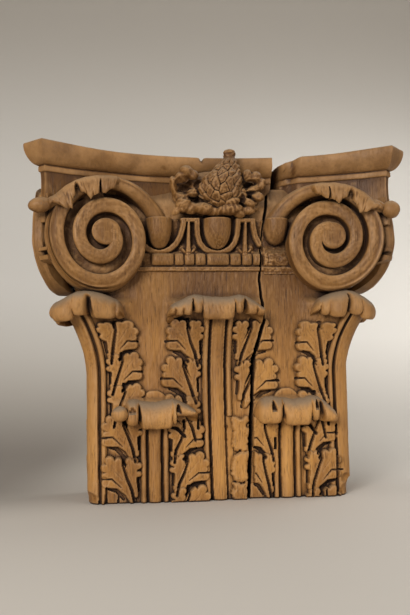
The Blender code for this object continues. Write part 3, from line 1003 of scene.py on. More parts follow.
@dataclass
class Tips:
    """The curled tips of the five front leaves."""

    plan: Plan = PLAN
    upper_crest: float = 205.8
    corner_crest: float = 209.8
    lower_crest: float = 103.0

    def front(self, crest: float, lean: float) -> Track:
        """The track of a leaf on the front."""
        def origin(u: Array) -> Array:
            """Points at the leaf's top edge."""
            return points(u, self.plan.front - lean, crest)

        return Track(origin)

    def corner(self, side: Side) -> Track:
        """The track round a corner: stations grow from the side to the front."""
        sign, forward = side.value, 20.5 if side is Side.LEFT else 14.0

        def origin(u: Array) -> Array:
            """Points at the leaf's top edge."""
            x, y = self.plan.point(sign * (self.plan.corner_run - u), np.zeros_like(u))
            push = forward * ramp(52, 8, np.abs(u))
            return points(x + sign * push, y - push, self.corner_crest)

        def out(u: Array) -> Array:
            """Outward directions."""
            turn = ramp(-32, 32, u) * QUARTER
            return points(sign * np.cos(turn), -np.sin(turn), 0.0)

        return Track(origin, out)

    def curls(self) -> list[Curl]:
        """All the curls."""
        centre = Curl(
            self.front(self.upper_crest, 15.5), -54.5, 42.6,
            several(Lobe, (-50, 4.6, 20.5, 1.8, 0.5), (-42.8, 4.6, 22, 2.4, 0.55),
                    (-35, 5, 21.5, 2.4, 0.6), (-24.2, 5.6, 19.5, 2.6, 0.5),
                    (-4.2, 17, 26.5, 1.8, 0.6), (16.8, 4.8, 20.5, 2.8, 0.4), (29, 6.8, 21.5, 2.2, 0.55),
                    (38.6, 4.4, 22, 1.2, 0.5)), ends=(5, 0.2), seed=1,
            crest=((-54.5, 13), (-48, 9), (-40, 5), (-33, 2), (-27, 0), (-10, 2.4), (8, 2.6), (18, 0),
                   (25, 2), (33, 6.5), (42.6, 14)),
            pits=several(Pit, (-29.6, 1.1, 3.5, 26, 6), (22.6, 1.7, 3, 19, 6)))
        corner_crest = ((-38, 18), (-30, 13), (-20, 8.5), (-13, 8), (-6, 8.5), (0, 7), (5, 4), (10, 1.2),
                        (15, 0), (20, 0.8), (25, 2.6), (30, 5.5), (34, 8.5), (38, 13))
        corner = {"reach": 18.0, "root": 30.0, "depth": 28.0}
        left = Curl(
            self.corner(Side.LEFT), -38.0, 38.5,
            several(Lobe, (-27, 10, 32, 2, 0.3), (-11, 5.6, 28, 1.6, 0.3),
                    (2, 9, 31.5, 4.6, 0.42), (13.4, 5.4, 26, 2.6, 0.25), (25.6, 8.2, 28.5, 2.8, 0.35),
                    (35.6, 3.8, 28, 1.2, 0.3)),
            **corner, ends=(8.0, 5.0), crest=corner_crest, seed=4.0,
            pits=several(Pit, (17.9, 2, 3, 30, 9), (-16, 1.6, 5, 30, 8),
                         (36.2, 2.4, 10, 19, 6.0)))
        right = Curl(
            self.corner(Side.RIGHT), -38.0, 38.0,
            several(Lobe, (-27, 10, 32, 2, 0.3), (-11, 5.6, 28, 1.6, 0.3),
                    (1, 8.4, 31.5, 4, 0.42), (11.2, 4.6, 27, 2.4, 0.25), (21.5, 7, 28.5, 2.8, 0.35),
                    (30, 3.8, 26, 1.8, 0.35), (36, 4, 22, 1, 0.5)),
            **corner, ends=(8, 6), seed=7, crest=(*corner_crest[:-2], (33, 7.5), (38, 14)),
            pits=several(Pit, (15.2, 1.4, 3, 28, 8), (-16, 1.6, 5, 30, 8)))
        low = {"reach": 19.0, "root": 11.0, "depth": 25.0}
        lower_left = Curl(
            self.front(self.lower_crest, 7.0), -98.5, -25.0,
            several(Lobe, (-90, 7, 26, 3.2, 0.15), (-66.5, 17, 30, 1.8, 0.5),
                    (-48.6, 3.4, 25.5, 2.6, 0.1), (-37, 14, 17.8, 0.5, 0.9)),
            **low, ends=(5.0, 4.0), seed=9.0,
            crest=((-98.5, 5), (-93, 1), (-88, 0), (-78, 2.4), (-68, 3.2), (-58, 1.5), (-50, 0), (-44, 2),
                   (-36, 6), (-25, 13)),
            pits=several(Pit, (-83.2, 1.5, 4, 27, 6), (-45, 2, 4, 11.5, 6),
                         (-90.5, 3.0, 9.2, 12.4, 4.0)))
        lower_right = Curl(
            self.front(self.lower_crest, 7.0), 33.0, 117.5,
            several(Lobe, (45.5, 14, 27.5, 2.6, 0.4), (75, 14.5, 30, 1.8, 0.5),
                    (93.2, 4.6, 25.5, 3, 0.1), (108, 11, 27, 0.5, 0.8)),
            **low, ends=(8.0, 5.0), seed=13.0,
            crest=((33, 8), (38, 3.4), (44, 0.6), (50, 0), (60, 1.5), (72, 3.4), (84, 2), (92, 0), (97, 1),
                   (104, 5), (117.5, 18)),
            pits=several(Pit, (50.2, 2, 5, 14, 7), (94.2, 1.4, 4.5, 12, 6), (99, 2.4, 2, 26, 8),
                         (61.0, 0.9, 12, 30, 3.0)))
        return [centre, left, right, lower_left, lower_right]

    def build(self, material: Material) -> Piece:
        """Make the tips as one piece."""
        shapes = [curl.shape() for curl in self.curls()]
        knob = ball((-102.4, -50, 88.6), (8.2, 8, 7.6))
        nudge(knob, 0.5, 6.0)
        return enter("leaf_tips", joined([*shapes, knob]), material, reach=16)


# ---- scrolls ----
@dataclass(frozen=True)
class Spiral:
    """The middle line and width of a scroll's band, by turns counted from its first lowest point."""

    centre: tuple[float, float] = (-116.6, 262.4)
    radii: Pairs = (
        (-0.36, 10.2), (-0.25, 12.6), (0, 18.2), (0.25, 23.9), (0.5, 29.7), (0.75, 35.6), (1, 41.7),
        (1.25, 47.6), (1.4, 50.3), (1.5, 51.7), (1.554, 52.8), (1.623, 55.8), (1.70, 60.4))
    halves: Pairs = (
        (-0.36, 6.7), (0, 6.7), (1, 7.3), (1.25, 8.4), (1.4, 7.2), (1.5, 6.3), (1.56, 6.4), (1.63, 7.8),
        (1.70, 9.4))
    wide: float = 0.97  # a scroll is a little taller than wide
    tall: float = 1.06

    def radius(self, turn: Array) -> Array:
        """Radius of the band's middle; the stalk leaves the spiral on the way down to the egg."""
        return through(self.radii, turn)

    def half(self, turn: Array) -> Array:
        """Half width of the band."""
        return through(self.halves, turn)

    def spot(self, turn: Array, radius: Array) -> tuple[Array, Array]:
        """X and Z at a turn and a radius."""
        angle = -QUARTER - 2 * math.pi * turn
        return (self.centre[0] + self.wide * radius * np.cos(angle),
                self.centre[1] + self.tall * radius * np.sin(angle))


@dataclass
class Scroll:
    """One corner scroll with its channel, eye, stalk and leaf, drawn as the left front one.

    Attributes:
        spiral: the band's middle line.
        face: Y of the band's face at the centre.
        turned: degrees that the face is turned towards the corner.
        sag: (depth, height) of the curve that draws the face back below the centre.
        channel: depth of the channel.
        depth: thickness of the wood behind it.
        button: the eye's middle, from the spiral's, and its half sizes.
        crest: X and Z of the leaf's top edge, from the stalk to the horn.
        roll: X, Z, half length, half height and turn of the knob that ends the leaf.
        lobes: the leaf's lobes, by their distance along the crest, and pits are its slits.
        long: where the leaf ends along the crest.
        proud: how far it stands out.
        slope: how far the rim's side slopes out going back.
        fine: 1 is full detail, more is coarser.
        knobbed: whether the leaf ends in its own knob.
    """

    spiral: Spiral = Spiral()
    face: float = -56.0
    turned: float = 8.0
    sag: tuple[float, float] = (12.0, 53.0)
    channel: float = 13.0
    depth: float = 12.0
    button: tuple[float, float, float, float] = (2.6, 5.0, 14.2, 13.2)
    crest: Pairs = (
        (-100, 321.5), (-112, 322.2), (-122, 321.4), (-134, 319.8), (-144, 316), (-153.6, 309.6),
        (-162, 301.5), (-170, 295), (-176, 292.5))
    roll: tuple[float, float, float, float, float] = (-177.4, 290.8, 11.4, 7.4, -8.0)
    lobes: tuple[Lobe, ...] = several(
        Lobe, (6.6, 3.6, 13.5, 1.4, 0.75), (13.4, 6.2, 18.6, 2, 0.75), (24.4, 5.2, 19, 1.8, 0.78),
        (32.2, 5, 23.8, 2.2, 0.8), (38.6, 3.8, 15, 1.6, 0.7), (51.2, 3.6, 15, 1.4, 0.75),
        (57.4, 5, 24, 2.2, 0.8), (65.6, 5.2, 18, 1.8, 0.8), (75, 8, 6, 0.6, 0.9))
    pits: tuple[Pit, ...] = several(Pit, (19.3, 1.2, 3.4, 22, 7), (45, 3, 2.6, 26, 9))
    long: float = 82.0
    proud: float = 8.2
    slope: float = 0.6
    fine: float = 1.0
    knobbed: bool = True

    def warp(self, x: Array, z: Array) -> Array:
        """Y of the band's face: it comes forward at the horn and draws back below."""
        below = np.maximum(self.spiral.centre[1] - z, 0)
        return (self.face - math.tan(math.radians(self.turned)) * (-x + self.spiral.centre[0])
                + self.sag[0] * (below / self.sag[1]) ** 2)

    def band(self) -> Shape:
        """The band that winds out from the eye, over the top and down to the egg as a stalk."""
        walls = np.array([19, 15.5, 12, 9, 6.6, 5, 3.6, 2.6])
        face = np.sin(np.linspace(-QUARTER, QUARTER, 19))
        ring = [*((-1.0, depth) for depth in walls), *((across, 0.0) for across in face),
                *((1, depth) for depth in walls[::-1]), (0.3, walls[0]), (-0.6, walls[0])]

        def place(across: Array, depth: Array, turn: Array) -> Array:
            """Points of the band, from places across it (-1 to 1), depths and turns."""
            half, radius = self.spiral.half(turn), self.spiral.radius(turn)
            rib = ramp(1.42, 1.62, turn)
            crown = 0.9 + 3.6 * rib
            edge = 2.4 * (1 - (1 - np.abs(across) ** 4) ** 0.5)
            free = ramp(1.03, 1.15, turn) * ramp(1.55, 1.4, turn)
            under = 0.26 * (across > -0.3) + 0.28 * (across > 0.9)  # the rim is cut free behind
            depth = depth * (1 + 0.6 * rib) * (1 - under * free)
            front = np.where(depth > 0, depth, edge - crown * (1 - across ** 2))
            lean = ramp(0.86, 1.08, turn) * ramp(1.4, 1.26, turn)  # the rim's side slopes
            outer = lean * (self.slope * (across >= 1) * ramp(0.0, 8.0, depth)
                            - 0.37 * self.slope * ramp(0.5, 1.0, across))
            ridge = 1.6 * bump(0.62, 0.26, across) * ramp(0.9, 1.1, turn) * ramp(1.75, 1.6, turn)
            x, z = self.spiral.spot(turn, radius + half * across + outer)
            back = 17 * ramp(1.52, 1.74, turn)
            lumps = 0.22 * WEAR.rough(turn * 30, across * 2 + depth / 6)
            return points(x, self.warp(x, z) + front + back - ridge + lumps, z)

        first, last = (self.spiral.radii[k][0] for k in (0, -1))
        turns = np.linspace(first, last, round(470 / self.fine))
        return wrapped(ring, turns, place)

    def floor(self) -> Shape:
        """The bottom of the channel, a drum behind the band."""
        radii = [*np.linspace(0.01, 1, round(26 / self.fine)), 1.0]

        def place(around: Array, number: Array) -> Array:
            """Points of the drum: its front from the middle out, then its side."""
            along = np.array(radii)[number.astype(int)]
            turn = around / (2 * math.pi)
            limit = self.spiral.radius(turn + 1) - 1.5
            x, z = self.spiral.spot(turn, limit * along)
            lit = 3.4 * bump(0, 0.12, (turn + 0.5) % 1 - 0.5) * ramp(18, 30, limit * along)
            lumps = 0.35 * WEAR.rough(x / 6, z / 6)
            y = self.warp(x, z) + self.channel - lit + lumps
            return points(x, np.where(number == len(radii) - 1, y + self.depth, y), z)

        around = np.linspace(-math.pi, math.pi, round(150 / self.fine))
        return sheet(around, np.arange(len(radii)), place)

    def eye(self) -> Shape:
        """The eye: a flat button with a worn edge."""
        rings = np.concatenate([np.linspace(0.01, 0.8, 8), np.linspace(0.86, 1, 7), [1.001, 1.002]])

        def place(around: Array, number: Array) -> Array:
            """Points of the button: its face from the middle out, then its side."""
            along = rings[number.astype(int)]
            x = self.spiral.centre[0] + self.button[0] + self.button[2] * along * np.cos(around)
            z = self.spiral.centre[1] + self.button[1] + self.button[3] * along * np.sin(around)
            fall = 2.4 * (1 - (1 - np.clip(along, 0, 1) ** 9) ** 0.5)
            side = np.where(number == len(rings) - 2, 7.0, np.where(number == len(rings) - 1, 16.0, 0.0))
            lumps = 0.3 * WEAR.rough(x / 7, z / 7)
            return points(x, self.warp(x, z) - 0.9 + np.maximum(fall, side) + lumps, z)

        return sheet(np.linspace(0, 2 * math.pi, 73), np.arange(len(rings)), place)

    def track(self) -> Track:
        """The line of the leaf over the top turn, from the stalk to the horn."""
        knots = np.array(self.crest)
        length = np.concatenate([[0], np.cumsum(np.hypot(*np.diff(knots, axis=0).T))])

        def origin(u: Array) -> Array:
            """Points on the leaf's crest."""
            x, z = (np.interp(u, length, knots[:, k]) for k in (0, 1))
            return points(x, self.warp(x, z) - 1.0, z)

        def down(u: Array) -> Array:
            """Towards the scroll's middle, and more upright near the horn."""
            here = origin(u)
            to = points(self.spiral.centre[0] - here[:, 0], 0, self.spiral.centre[1] + 6 - here[:, 2])
            to /= np.linalg.norm(to, axis=1)[:, None]
            to = to + np.array([0, 0, -1.1])
            return to / np.linalg.norm(to, axis=1)[:, None]

        return Track(origin, down=down)

    def leaf(self) -> list[Shape]:
        """The leaf over the top turn and the knob it ends in."""
        curl = Curl(self.track(), 0.0, self.long, self.lobes, reach=self.proud, root=22.0, ends=(4.0, 9.0),
                    pits=self.pits, depth=13.0, even=True, bite=0.26, step=0.55 * self.fine, rings=44,
                    seed=31.0).shape()
        if not self.knobbed:
            return [curl]
        y = float(self.warp(np.array(-182.0), np.array(292.0)))
        x, z, long, thick, turn = self.roll
        roll = ball((x, y + 1.0, z), (long, 8.2, thick), turn)
        neck = ball((x + 13, y + 4, z + 4.6), (11, 7, 5.4), -30)
        for seed, bm in ((11, roll), (12, neck)):
            nudge(bm, 0.5, 7.0, seed)
        return [curl, roll, neck]

    def shape(self) -> Shape:
        """The whole scroll."""
        return joined([self.floor(), self.band(), self.eye(), *self.leaf()])


@dataclass(frozen=True)
class Corner:
    """How a scroll is repeated round a corner: mirrored in the upright plane through the horn."""

    horn: float = 175.5
    horn_y: float = -73.0
    blunt: float = 19.0

    @property
    def offset(self) -> float:
        """Distance in y = x + offset, the mirror plane of the left corner, mm."""
        return self.horn_y + self.horn + self.blunt

    def mate(self, spot: Array) -> Array:
        """X and Y of places mirrored in that plane."""
        return np.stack([spot[:, 1] - self.offset, spot[:, 0] + self.offset], axis=1)

    def mirror(self) -> Matrix:
        """Matrix that turns a left front scroll into the left side's."""
        shift = self.offset * MM
        return Matrix(((0, 1, 0, -shift), (1, 0, 0, shift), (0, 0, 1, 0), (0, 0, 0, 1)))

    def web(self) -> Shape:
        """The wood left standing between the front scroll and the side scroll."""
        # (height, how far it draws back from the horn there)
        levels = np.array([(214, 40), (222, 36), (232, 24), (236, 4), (239, -8), (244.2, -9),
                           (245.2, 3), (246.8, 3), (247.8, -9), (252, -9), (255, 20), (286, 20), (289, -8),
                           (304.3, -8.4)])

        def place(number: Array, z: Array) -> Array:
            """Points of the web at eight places round it."""
            draw = np.interp(z, levels[:, 0], levels[:, 1])
            number = number.astype(int) % 8
            tip = np.stack([-162 + draw, -49 + draw], axis=1)
            near = np.stack([np.full_like(z, -100.0), -33 + draw / 4], axis=1)
            inner = np.tile((-100.0, 20.0), (len(z), 1))
            middle = np.stack([np.full_like(z, -156.0) + np.maximum(draw, 0), -38 + draw / 3], axis=1)
            far = self.mate(near)
            ring = [near, middle, tip, self.mate(tip), self.mate(middle), far, (far + inner) / 2, inner]
            return np.column_stack([np.choose(number[:, None], ring), z])

        rows = np.linspace(levels[0, 0], levels[-1, 0], 90)
        return sheet(np.arange(9), rows, place)


@dataclass
class Scrolls:
    """The four scrolls, in two corner pieces."""

    corner: Corner = Corner()

    def pair(self, front: Scroll, side: Side, face: float, material: Material) -> None:
        """Make one corner's front and side scroll and the web between them.

        Args:
            front: the front scroll.
            side: which corner.
            face: Y of the side scroll's face, before it is mirrored.
            material: their finish.
        """
        flip = Matrix.Diagonal((-side.value, 1, 1, 1))
        plain = Scroll(fine=1.45, face=face, proud=2.5, long=60.0, knobbed=False)
        shape, other, web = front.shape(), plain.shape(), self.corner.web()
        parts = [transformed(shape, flip), transformed(other, flip @ self.corner.mirror()),
                 transformed(web, flip)]
        for bm in (shape, other, web):
            bm.free()
        enter(f"scrolls_{side.name.lower()}", joined(parts), material, reach=14, sharp=45)

    def build(self, material: Material) -> None:
        """Make both corners."""
        spiral = Spiral((-114.5, 262.4), (
            (-0.54, 7.6), (-0.42, 10.6), (-0.33, 13.6), (-0.25, 16.4), (-0.1, 20.6), (0, 22.2),
            (0.25, 25.2), (0.5, 28.6), (0.75, 37.8), (1, 43.4), (1.25, 46.4), (1.4, 46.6), (1.5, 47.4),
            (1.55, 49.5), (1.61, 53.6), (1.655, 57), (1.70, 60)))
        crest = ((-93, 316.5), (-105, 318), (-116, 318), (-127, 316.6), (-136.5, 313.5), (-146.7, 307.4),
                 (-154, 300.8), (-162, 294.6), (-170, 291.5))
        right = Scroll(
            spiral, button=(-0.8, 1.9, 12.7, 13.6), crest=crest, roll=(-174, 289.6, 9.6, 8.8, -8),
            lobes=several(Lobe, (5, 3.6, 12, 1.4, 0.75), (12.2, 5.6, 17, 2, 0.75),
                          (20.8, 4.2, 18, 1.6, 0.8), (28, 5.6, 22.5, 2.2, 0.8),
                          (35, 3.6, 15, 1.4, 0.7), (49, 4, 17, 1.4, 0.75),
                          (56.6, 5.6, 23.5, 2.2, 0.8), (65, 5.2, 17, 1.8, 0.8),
                          (75, 8, 6, 0.6, 0.9)),
            pits=several(Pit, (16.8, 1.2, 4, 22, 7), (41.8, 3.4, 2.6, 26, 9)))
        self.pair(Scroll(slope=4.8), Side.LEFT, -55.6, material)
        self.pair(right, Side.RIGHT, -53.0, material)


# ---- egg-and-dart ----
@dataclass
class EggBand:
    """Egg-and-dart over a row of beads, with the fillet below them.

    Each egg sits in a shell, which is hollowed out of the panel behind it.
    """

    side: Side
    left: float = -84.0
    right: float = 83.0
    low: float = 228.5
    high: float = 286.0
    back: float = -14.0  # Y of the panel's back
    hollow: float = 6.2  # depth of the ground round the eggs
    cell: float = 0.6
    eggs: tuple[Triple, ...] = (
        (-60.6, 13.4, 30.5), (-0.8, 15, 31), (60.6, 13, 26))  # middle, half width, height
    darts: tuple[float, ...] = (-30.6, 28.2)
    beads: Pairs = (
        (-68.4, -45.4), (-45, -35.2), (-34.8, -24.1), (-23.7, -12.6), (-11.6, 11.9), (12.5, 24.3),
        (24.8, 35.8), (36.2, 46.6), (48.9, 52.4), (53, 73.8))
    plan: Plan = PLAN

    def shells(self) -> list[Stroke]:
        """The rims round the eggs; a side of one is (distance from the egg's middle, height)."""
        near = ((21, 286), (21.2, 277), (20.4, 268), (18, 260.5), (13, 254.6), (6.5, 251.4), (0, 250.4))
        wide = ((25.2, 286), (24.4, 277), (21.6, 267), (17.2, 259.5), (11.5, 254.4), (5.5, 251.6), (0, 250.6))
        strokes = []
        for egg, sign, path in ((0, -1, wide), (0, 1, wide), (1, -1, near), (1, 1, near), (2, -1, wide)):
            middle = self.eggs[egg][0]
            strokes.append(Stroke(tuple((middle + sign * x, z, 2.9) for x, z in path
                                        if egg < 2 or z > 257), 3.4, 2.4, 2.6))
        return strokes

    def details(self) -> list[Stroke]:
        """The bars that join the shells over each dart, and the darts with their barbs."""
        strokes = []
        for dart in self.darts:
            strokes.append(Stroke(((dart - 6.4, 283.4, 2.7), (dart + 6.4, 283.4, 2.7)), 3, 3, 3))
            strokes.append(Stroke(((dart, 281, 1.5), (dart, 256, 2.3), (dart, 249, 3.2)), 2.4, 4.6))
            for sign in (-1, 1):
                strokes.append(Stroke(((dart, 249.4, 3.0), (dart + sign * 3.4, 250.8, 2.8),
                                       (dart + sign * 6, 254, 1.8)), 3, 2.4, 1))
        return strokes

    def out(self, x: Array, z: Array) -> Array:
        """How far the panel stands out from the block's front."""
        base = through([(228, 1.4), (231, 1.8), (231.7, 5.6), (235.3, 5.6), (236, 3), (237.6, 1.8),
                        (250.4, 1.8), (252, 3), (257, 4.4), (268, 7.4), (279, 11.2), (286, 12)], z)
        shallow = sum(ramp(12, 7, np.abs(x - dart)) for dart in self.darts)
        deep = ramp(249.6, 254.5, z) * (1 - 0.7 * shallow * ramp(263, 255, z))
        floor = base - self.hollow * deep
        level = floor + 0.4 * WEAR.rough(x / 4, z / 4)
        for stroke in (*self.shells(), *self.details()):
            near, rise = stroke.level(x, z)
            full = self.hollow * deep[near] + rise
            top = floor[near] + full * ramp(0, 0.45, rise / max(stroke.start, stroke.end))
            level[near] = np.maximum(level[near], top)
        for middle, half, tall in self.eggs:
            part = 1 - (np.abs(x - middle) / half) ** 2.4 - (np.abs(z - 285) / tall) ** 2.3
            egg = 6.4 + 14.6 * np.sqrt(np.maximum(part, 0)) - 1.6 * ramp(268, 254, z)
            level = np.where(part > 0, np.maximum(level, egg), level)
        for start, end in self.beads:
            middle, half = (start + end) / 2, (end - start) / 2
            t = np.abs(x - middle) / half
            swell = pillow((1 - t) * half / min(half, 4.6), 2.0)
            profile = 1 - (np.abs(z - 243.7) / (5.2 + 1.5 * swell)) ** 2.2
            bead = 1.6 + 6.0 * np.sqrt(np.maximum(profile, 0)) * (0.2 + 0.8 * swell)
            level = np.where((t < 1) & (profile > 0), np.maximum(level, bead), level)
        chip = np.hypot(x - 1.5, (z - 257.5) * 0.9)
        level -= 2.0 * bump(0, 7, chip) * (0.6 + 0.8 * WEAR.rough(x / 2.5, z / 2.5))
        level -= 1.5 * bump(0, 6, np.hypot(x + 80, z - 240))
        worn = 0.8 * ramp(46.5, 49, x) * ramp(262, 250, z)
        rubbed = 4.6 + 1.5 * bump(243, 6, z) - 1.6 * bump(236.4, 1.6, z) + 0.9 * WEAR.rough(x / 5, z / 3.4)
        level = level * (1 - worn) + worn * rubbed
        return level - 5.0 * ramp(284.2, 286.0, z) + 0.18 * WEAR.rough(x / 2.0, z / 5)

    def build(self, material: Material) -> Piece:
        """Make one board's part of the band."""
        start = self.left if self.side is Side.LEFT else self.right
        columns = round(abs(start - JOINT_HIGH) / self.cell)
        ring = legs((Leg.FRONT, np.linspace(0, 1, columns)), (Leg.WALL, (0.3, 0.65, 1.0)),
                    (Leg.BACK, (0.5, 1.0)), (Leg.END, (0.5, 1.0)))

        def place(leg: Array, t: Array, z: Array) -> Array:
            """Points of the panel."""
            edge = joint_edge(z, self.side) - self.side.value * 0.35
            x = np.select([leg == Leg.FRONT, leg == Leg.WALL, leg == Leg.BACK],
                          [start + t * (edge - start), edge, edge + t * (start - edge)], start)
            skin = self.plan.front - self.out(x, z)
            y = np.select([leg == Leg.WALL, leg == Leg.BACK, leg == Leg.END],
                          [skin + t * (self.back - skin), self.back, self.back + t * (skin - self.back)],
                          skin)
            return points(x, y, z)

        bm = wrapped(ring, np.arange(self.low, self.high + 0.01, self.cell), place)
        return enter(f"egg_band_{self.side.name.lower()}", bm, material, reach=16, sharp=60)


# ---- bud and petals ----
@dataclass
class Flower:
    """The scaly bud over the middle egg, its petals and the small leaves round it."""

    axis: tuple[float, float] = (0.6, 318.0)
    y: float = -46.0

    def bud(self) -> Shape:
        """The bud: a pear shape leaning right, covered in scales."""
        profile = [(0, 0.6), (0.03, 7), (0.09, 13.5), (0.2, 19.2), (0.33, 21.6), (0.45, 20.4),
                   (0.57, 16.9), (0.68, 12.4), (0.77, 9), (0.83, 6.6), (0.865, 5.8), (0.89, 6.1),
                   (0.93, 6.6), (0.965, 5.6), (0.985, 3.8), (1, 0.6)]
        low, high = 292.0, 356.0

        def place(around: Array, t: Array) -> Array:
            """Points of the bud round its leaning axis."""
            radius = through(profile, t)
            z = low + t * (high - low)
            body = ramp(0.84, 0.76, t) * ramp(0.0, 0.12, t)
            rise = self.scales(around, t, np.maximum(radius, 5.0), high - low)
            lumps = 1.1 * WEAR.rough(around * 2.4 + 9, t * 9)
            knob = 0.8 * WEAR.rough(around * 2 + 3, t * 22) * ramp(0.84, 0.9, t)
            radius = np.maximum(radius + body * (rise + lumps) + knob, 0.3)
            x = self.axis[0] + 1.2 + 10.4 * ramp(0.3, 0.9, t) + radius * np.sin(around)
            y = self.y + 3.5 - 0.86 * radius * np.cos(around)
            return points(x, y, z)

        t = np.concatenate([np.linspace(0, 0.06, 6)[:-1], np.linspace(0.06, 0.94, 118),
                            np.linspace(0.94, 1.0, 8)[1:]])
        return sheet(np.linspace(-math.pi, math.pi, 181), t, place)

    @staticmethod
    def scales(around: Array, t: Array, radius: Array, tall: float) -> Array:
        """Raise the bud's scales: staggered rows of uneven bumps with cut lines between.

        Args:
            around: angles round the bud's axis.
            t: shares of its height.
            radius: its radius at each.
            tall: its height, mm.

        Returns:
            How far the skin is raised at each (mm).
        """
        rows, across = 8, 9
        first, second, tip = np.full_like(t, 99.0), np.full_like(t, 99.0), np.zeros_like(t)
        for row in range(rows):
            for number in range(across):
                wave = [float(WEAR.at(np.array(row * 3.1 + k), np.array(number * 2.3 + k)))
                        for k in (0.0, 40.0)]
                angle = (number + 0.5 * (row % 2) + 0.4 * wave[0]) * 2 * math.pi / across
                height = 0.06 + 0.102 * row + 0.025 * wave[1]
                gap = (around - angle + math.pi) % (2 * math.pi) - math.pi
                rise = (t - height) * tall
                away = np.hypot(gap * radius, rise * 0.7)
                second = np.minimum(second, np.maximum(away, first))
                tip = np.where(away < first, rise, tip)
                first = np.minimum(first, away)
        cut = ramp(2.2, 0.1, second - first)
        return 0.5 + 0.3 * tip - 1.3 * cut + 0.5 * WEAR.at(around * 9, t * 30)

    def petals(self) -> Shape:
        """The small leaves round the bud, as balls of wood to be run together."""
        leaves = (  # middle (Y from the bud's axis), half sizes and turn
            # ground behind everything
            ((0, 20, 312), (47, 12, 25), 0), ((0, 14, 296), (44, 9, 9), 0),
            # left: knob, hollow leaf's rim, square tip, low leaf
            ((-33, 2, 331.5), (6.8, 7.5, 6.4), 0), ((-26, 4, 328.5), (6, 7, 5.6), 20),
            ((-37, 5, 326), (8.5, 8, 6.5), -30), ((-45.5, 7, 317), (4.2, 8, 11), -10),
            ((-38, 7, 306), (7.5, 8, 6.5), 35), ((-26.5, 3, 310), (6.6, 7, 5.2), -8),
            ((-36.5, 1, 297), (8.6, 8, 7.6), -34), ((-43.5, 1, 290.5), (6.5, 5, 3.6), -42),
            ((-29, 3, 294), (8, 7, 6.4), 0),
            # under the bud
            ((-16, 1, 293.2), (11.5, 9.5, 6), 6), ((-4, 4, 290.5), (12, 8, 4.6), 0),
            ((10.5, 1, 292.6), (14, 9.5, 6), -5), ((12.5, -3.5, 299.5), (8.5, 7, 4.2), -12),
            ((20.5, 4, 289.5), (7, 7, 5), 20),
            # right: two-knob leaf, fold, lower knobs
            ((30.5, 4, 328.5), (5.6, 7.5, 6.6), 0), ((39, 4, 327), (6.2, 7.5, 6.2), 10),
            ((45, 6, 320), (4.6, 7.5, 6.6), 18), ((37.5, 7, 315), (10.5, 7, 4.4), -28),
            ((40.5, 3, 306.2), (6.6, 8, 5), 12), ((30.5, 3, 299.8), (7.6, 8, 4.2), 24),
            ((24.5, 6, 308), (5.5, 8, 8), 0), ((30, 5, 292), (8, 6, 4), 0),
        )
        return joined([ball((x, self.y + y, z), radii, turn, 24, 16) for (x, y, z), radii, turn in leaves])

    def feather(self, bm: Shape) -> None:
        """Cut veins and hollows into the run-together leaves.

        Args:
            bm: the leaves, changed in place.
        """
        # middle, half sizes and depth of each hollow
        hollows = ((-35.5, 317, 9.5, 8.6, 6), (-19.5, 316, 5, 8, 5), (33.5, 320.5, 6, 3, 5),
                   (34, 310.4, 5.5, 2, 5), (24.5, 303.5, 2.6, 4.5, 5), (-31.5, 302.5, 6, 1.8, 4),
                   (-22, 301.5, 3, 3.6, 4), (34.6, 333, 1.5, 4, 2.8), (-3, 297.6, 2.4, 3.4, 3))
        x, _, z = np.array([vert.co[:] for vert in bm.verts]).T / MM
        shift = np.zeros(len(x))
        for cx, cz, rx, rz, depth in hollows:
            gap = np.hypot((x - cx) / rx, (z - cz) / rz)
            shift = np.maximum(shift, depth * pillow(1 - gap / 1.15, 1.6))
        angle = np.arctan2(z - self.axis[1] + 4, x - self.axis[0])
        veins = 1.1 * np.abs(np.sin(angle * 15 + 1.6 * WEAR.at(x / 8, z / 8)))
        veins *= ramp(18, 26, np.hypot(x - self.axis[0], z - self.axis[1]))
        shift += veins + 0.6 * WEAR.rough(x / 4.5, z / 4.5)
        facing = np.array([max(0.0, -vert.normal.y) for vert in bm.verts])
        for vert, step in zip(bm.verts, shift * ramp(0.0, 0.5, facing)):
            vert.co.y += float(step) * MM

    def build(self, material: Material) -> None:
        """Make the bud and the petals."""
        enter("bud", self.bud(), material, reach=14, sharp=70)
        raw = bpy.data.meshes.new("raw")
        balls = self.petals()
        balls.to_mesh(raw)
        balls.free()
        maker = bpy.data.objects.new("raw", raw)
        bpy.context.scene.collection.objects.link(maker)
        fuse = maker.modifiers.new("fuse", "REMESH")
        fuse.mode, fuse.voxel_size = "VOXEL", 0.85 * MM
        soften = maker.modifiers.new("soften", "SMOOTH")
        soften.factor, soften.iterations = 0.5, 3
        ready = maker.evaluated_get(bpy.context.evaluated_depsgraph_get()).to_mesh()
        bm = bmesh.new()
        bm.from_mesh(ready)
        bpy.data.objects.remove(maker)
        bpy.data.meshes.remove(raw)
        bm.normal_update()
        self.feather(bm)
        enter("petals", bm, material, reach=12, sharp=70)


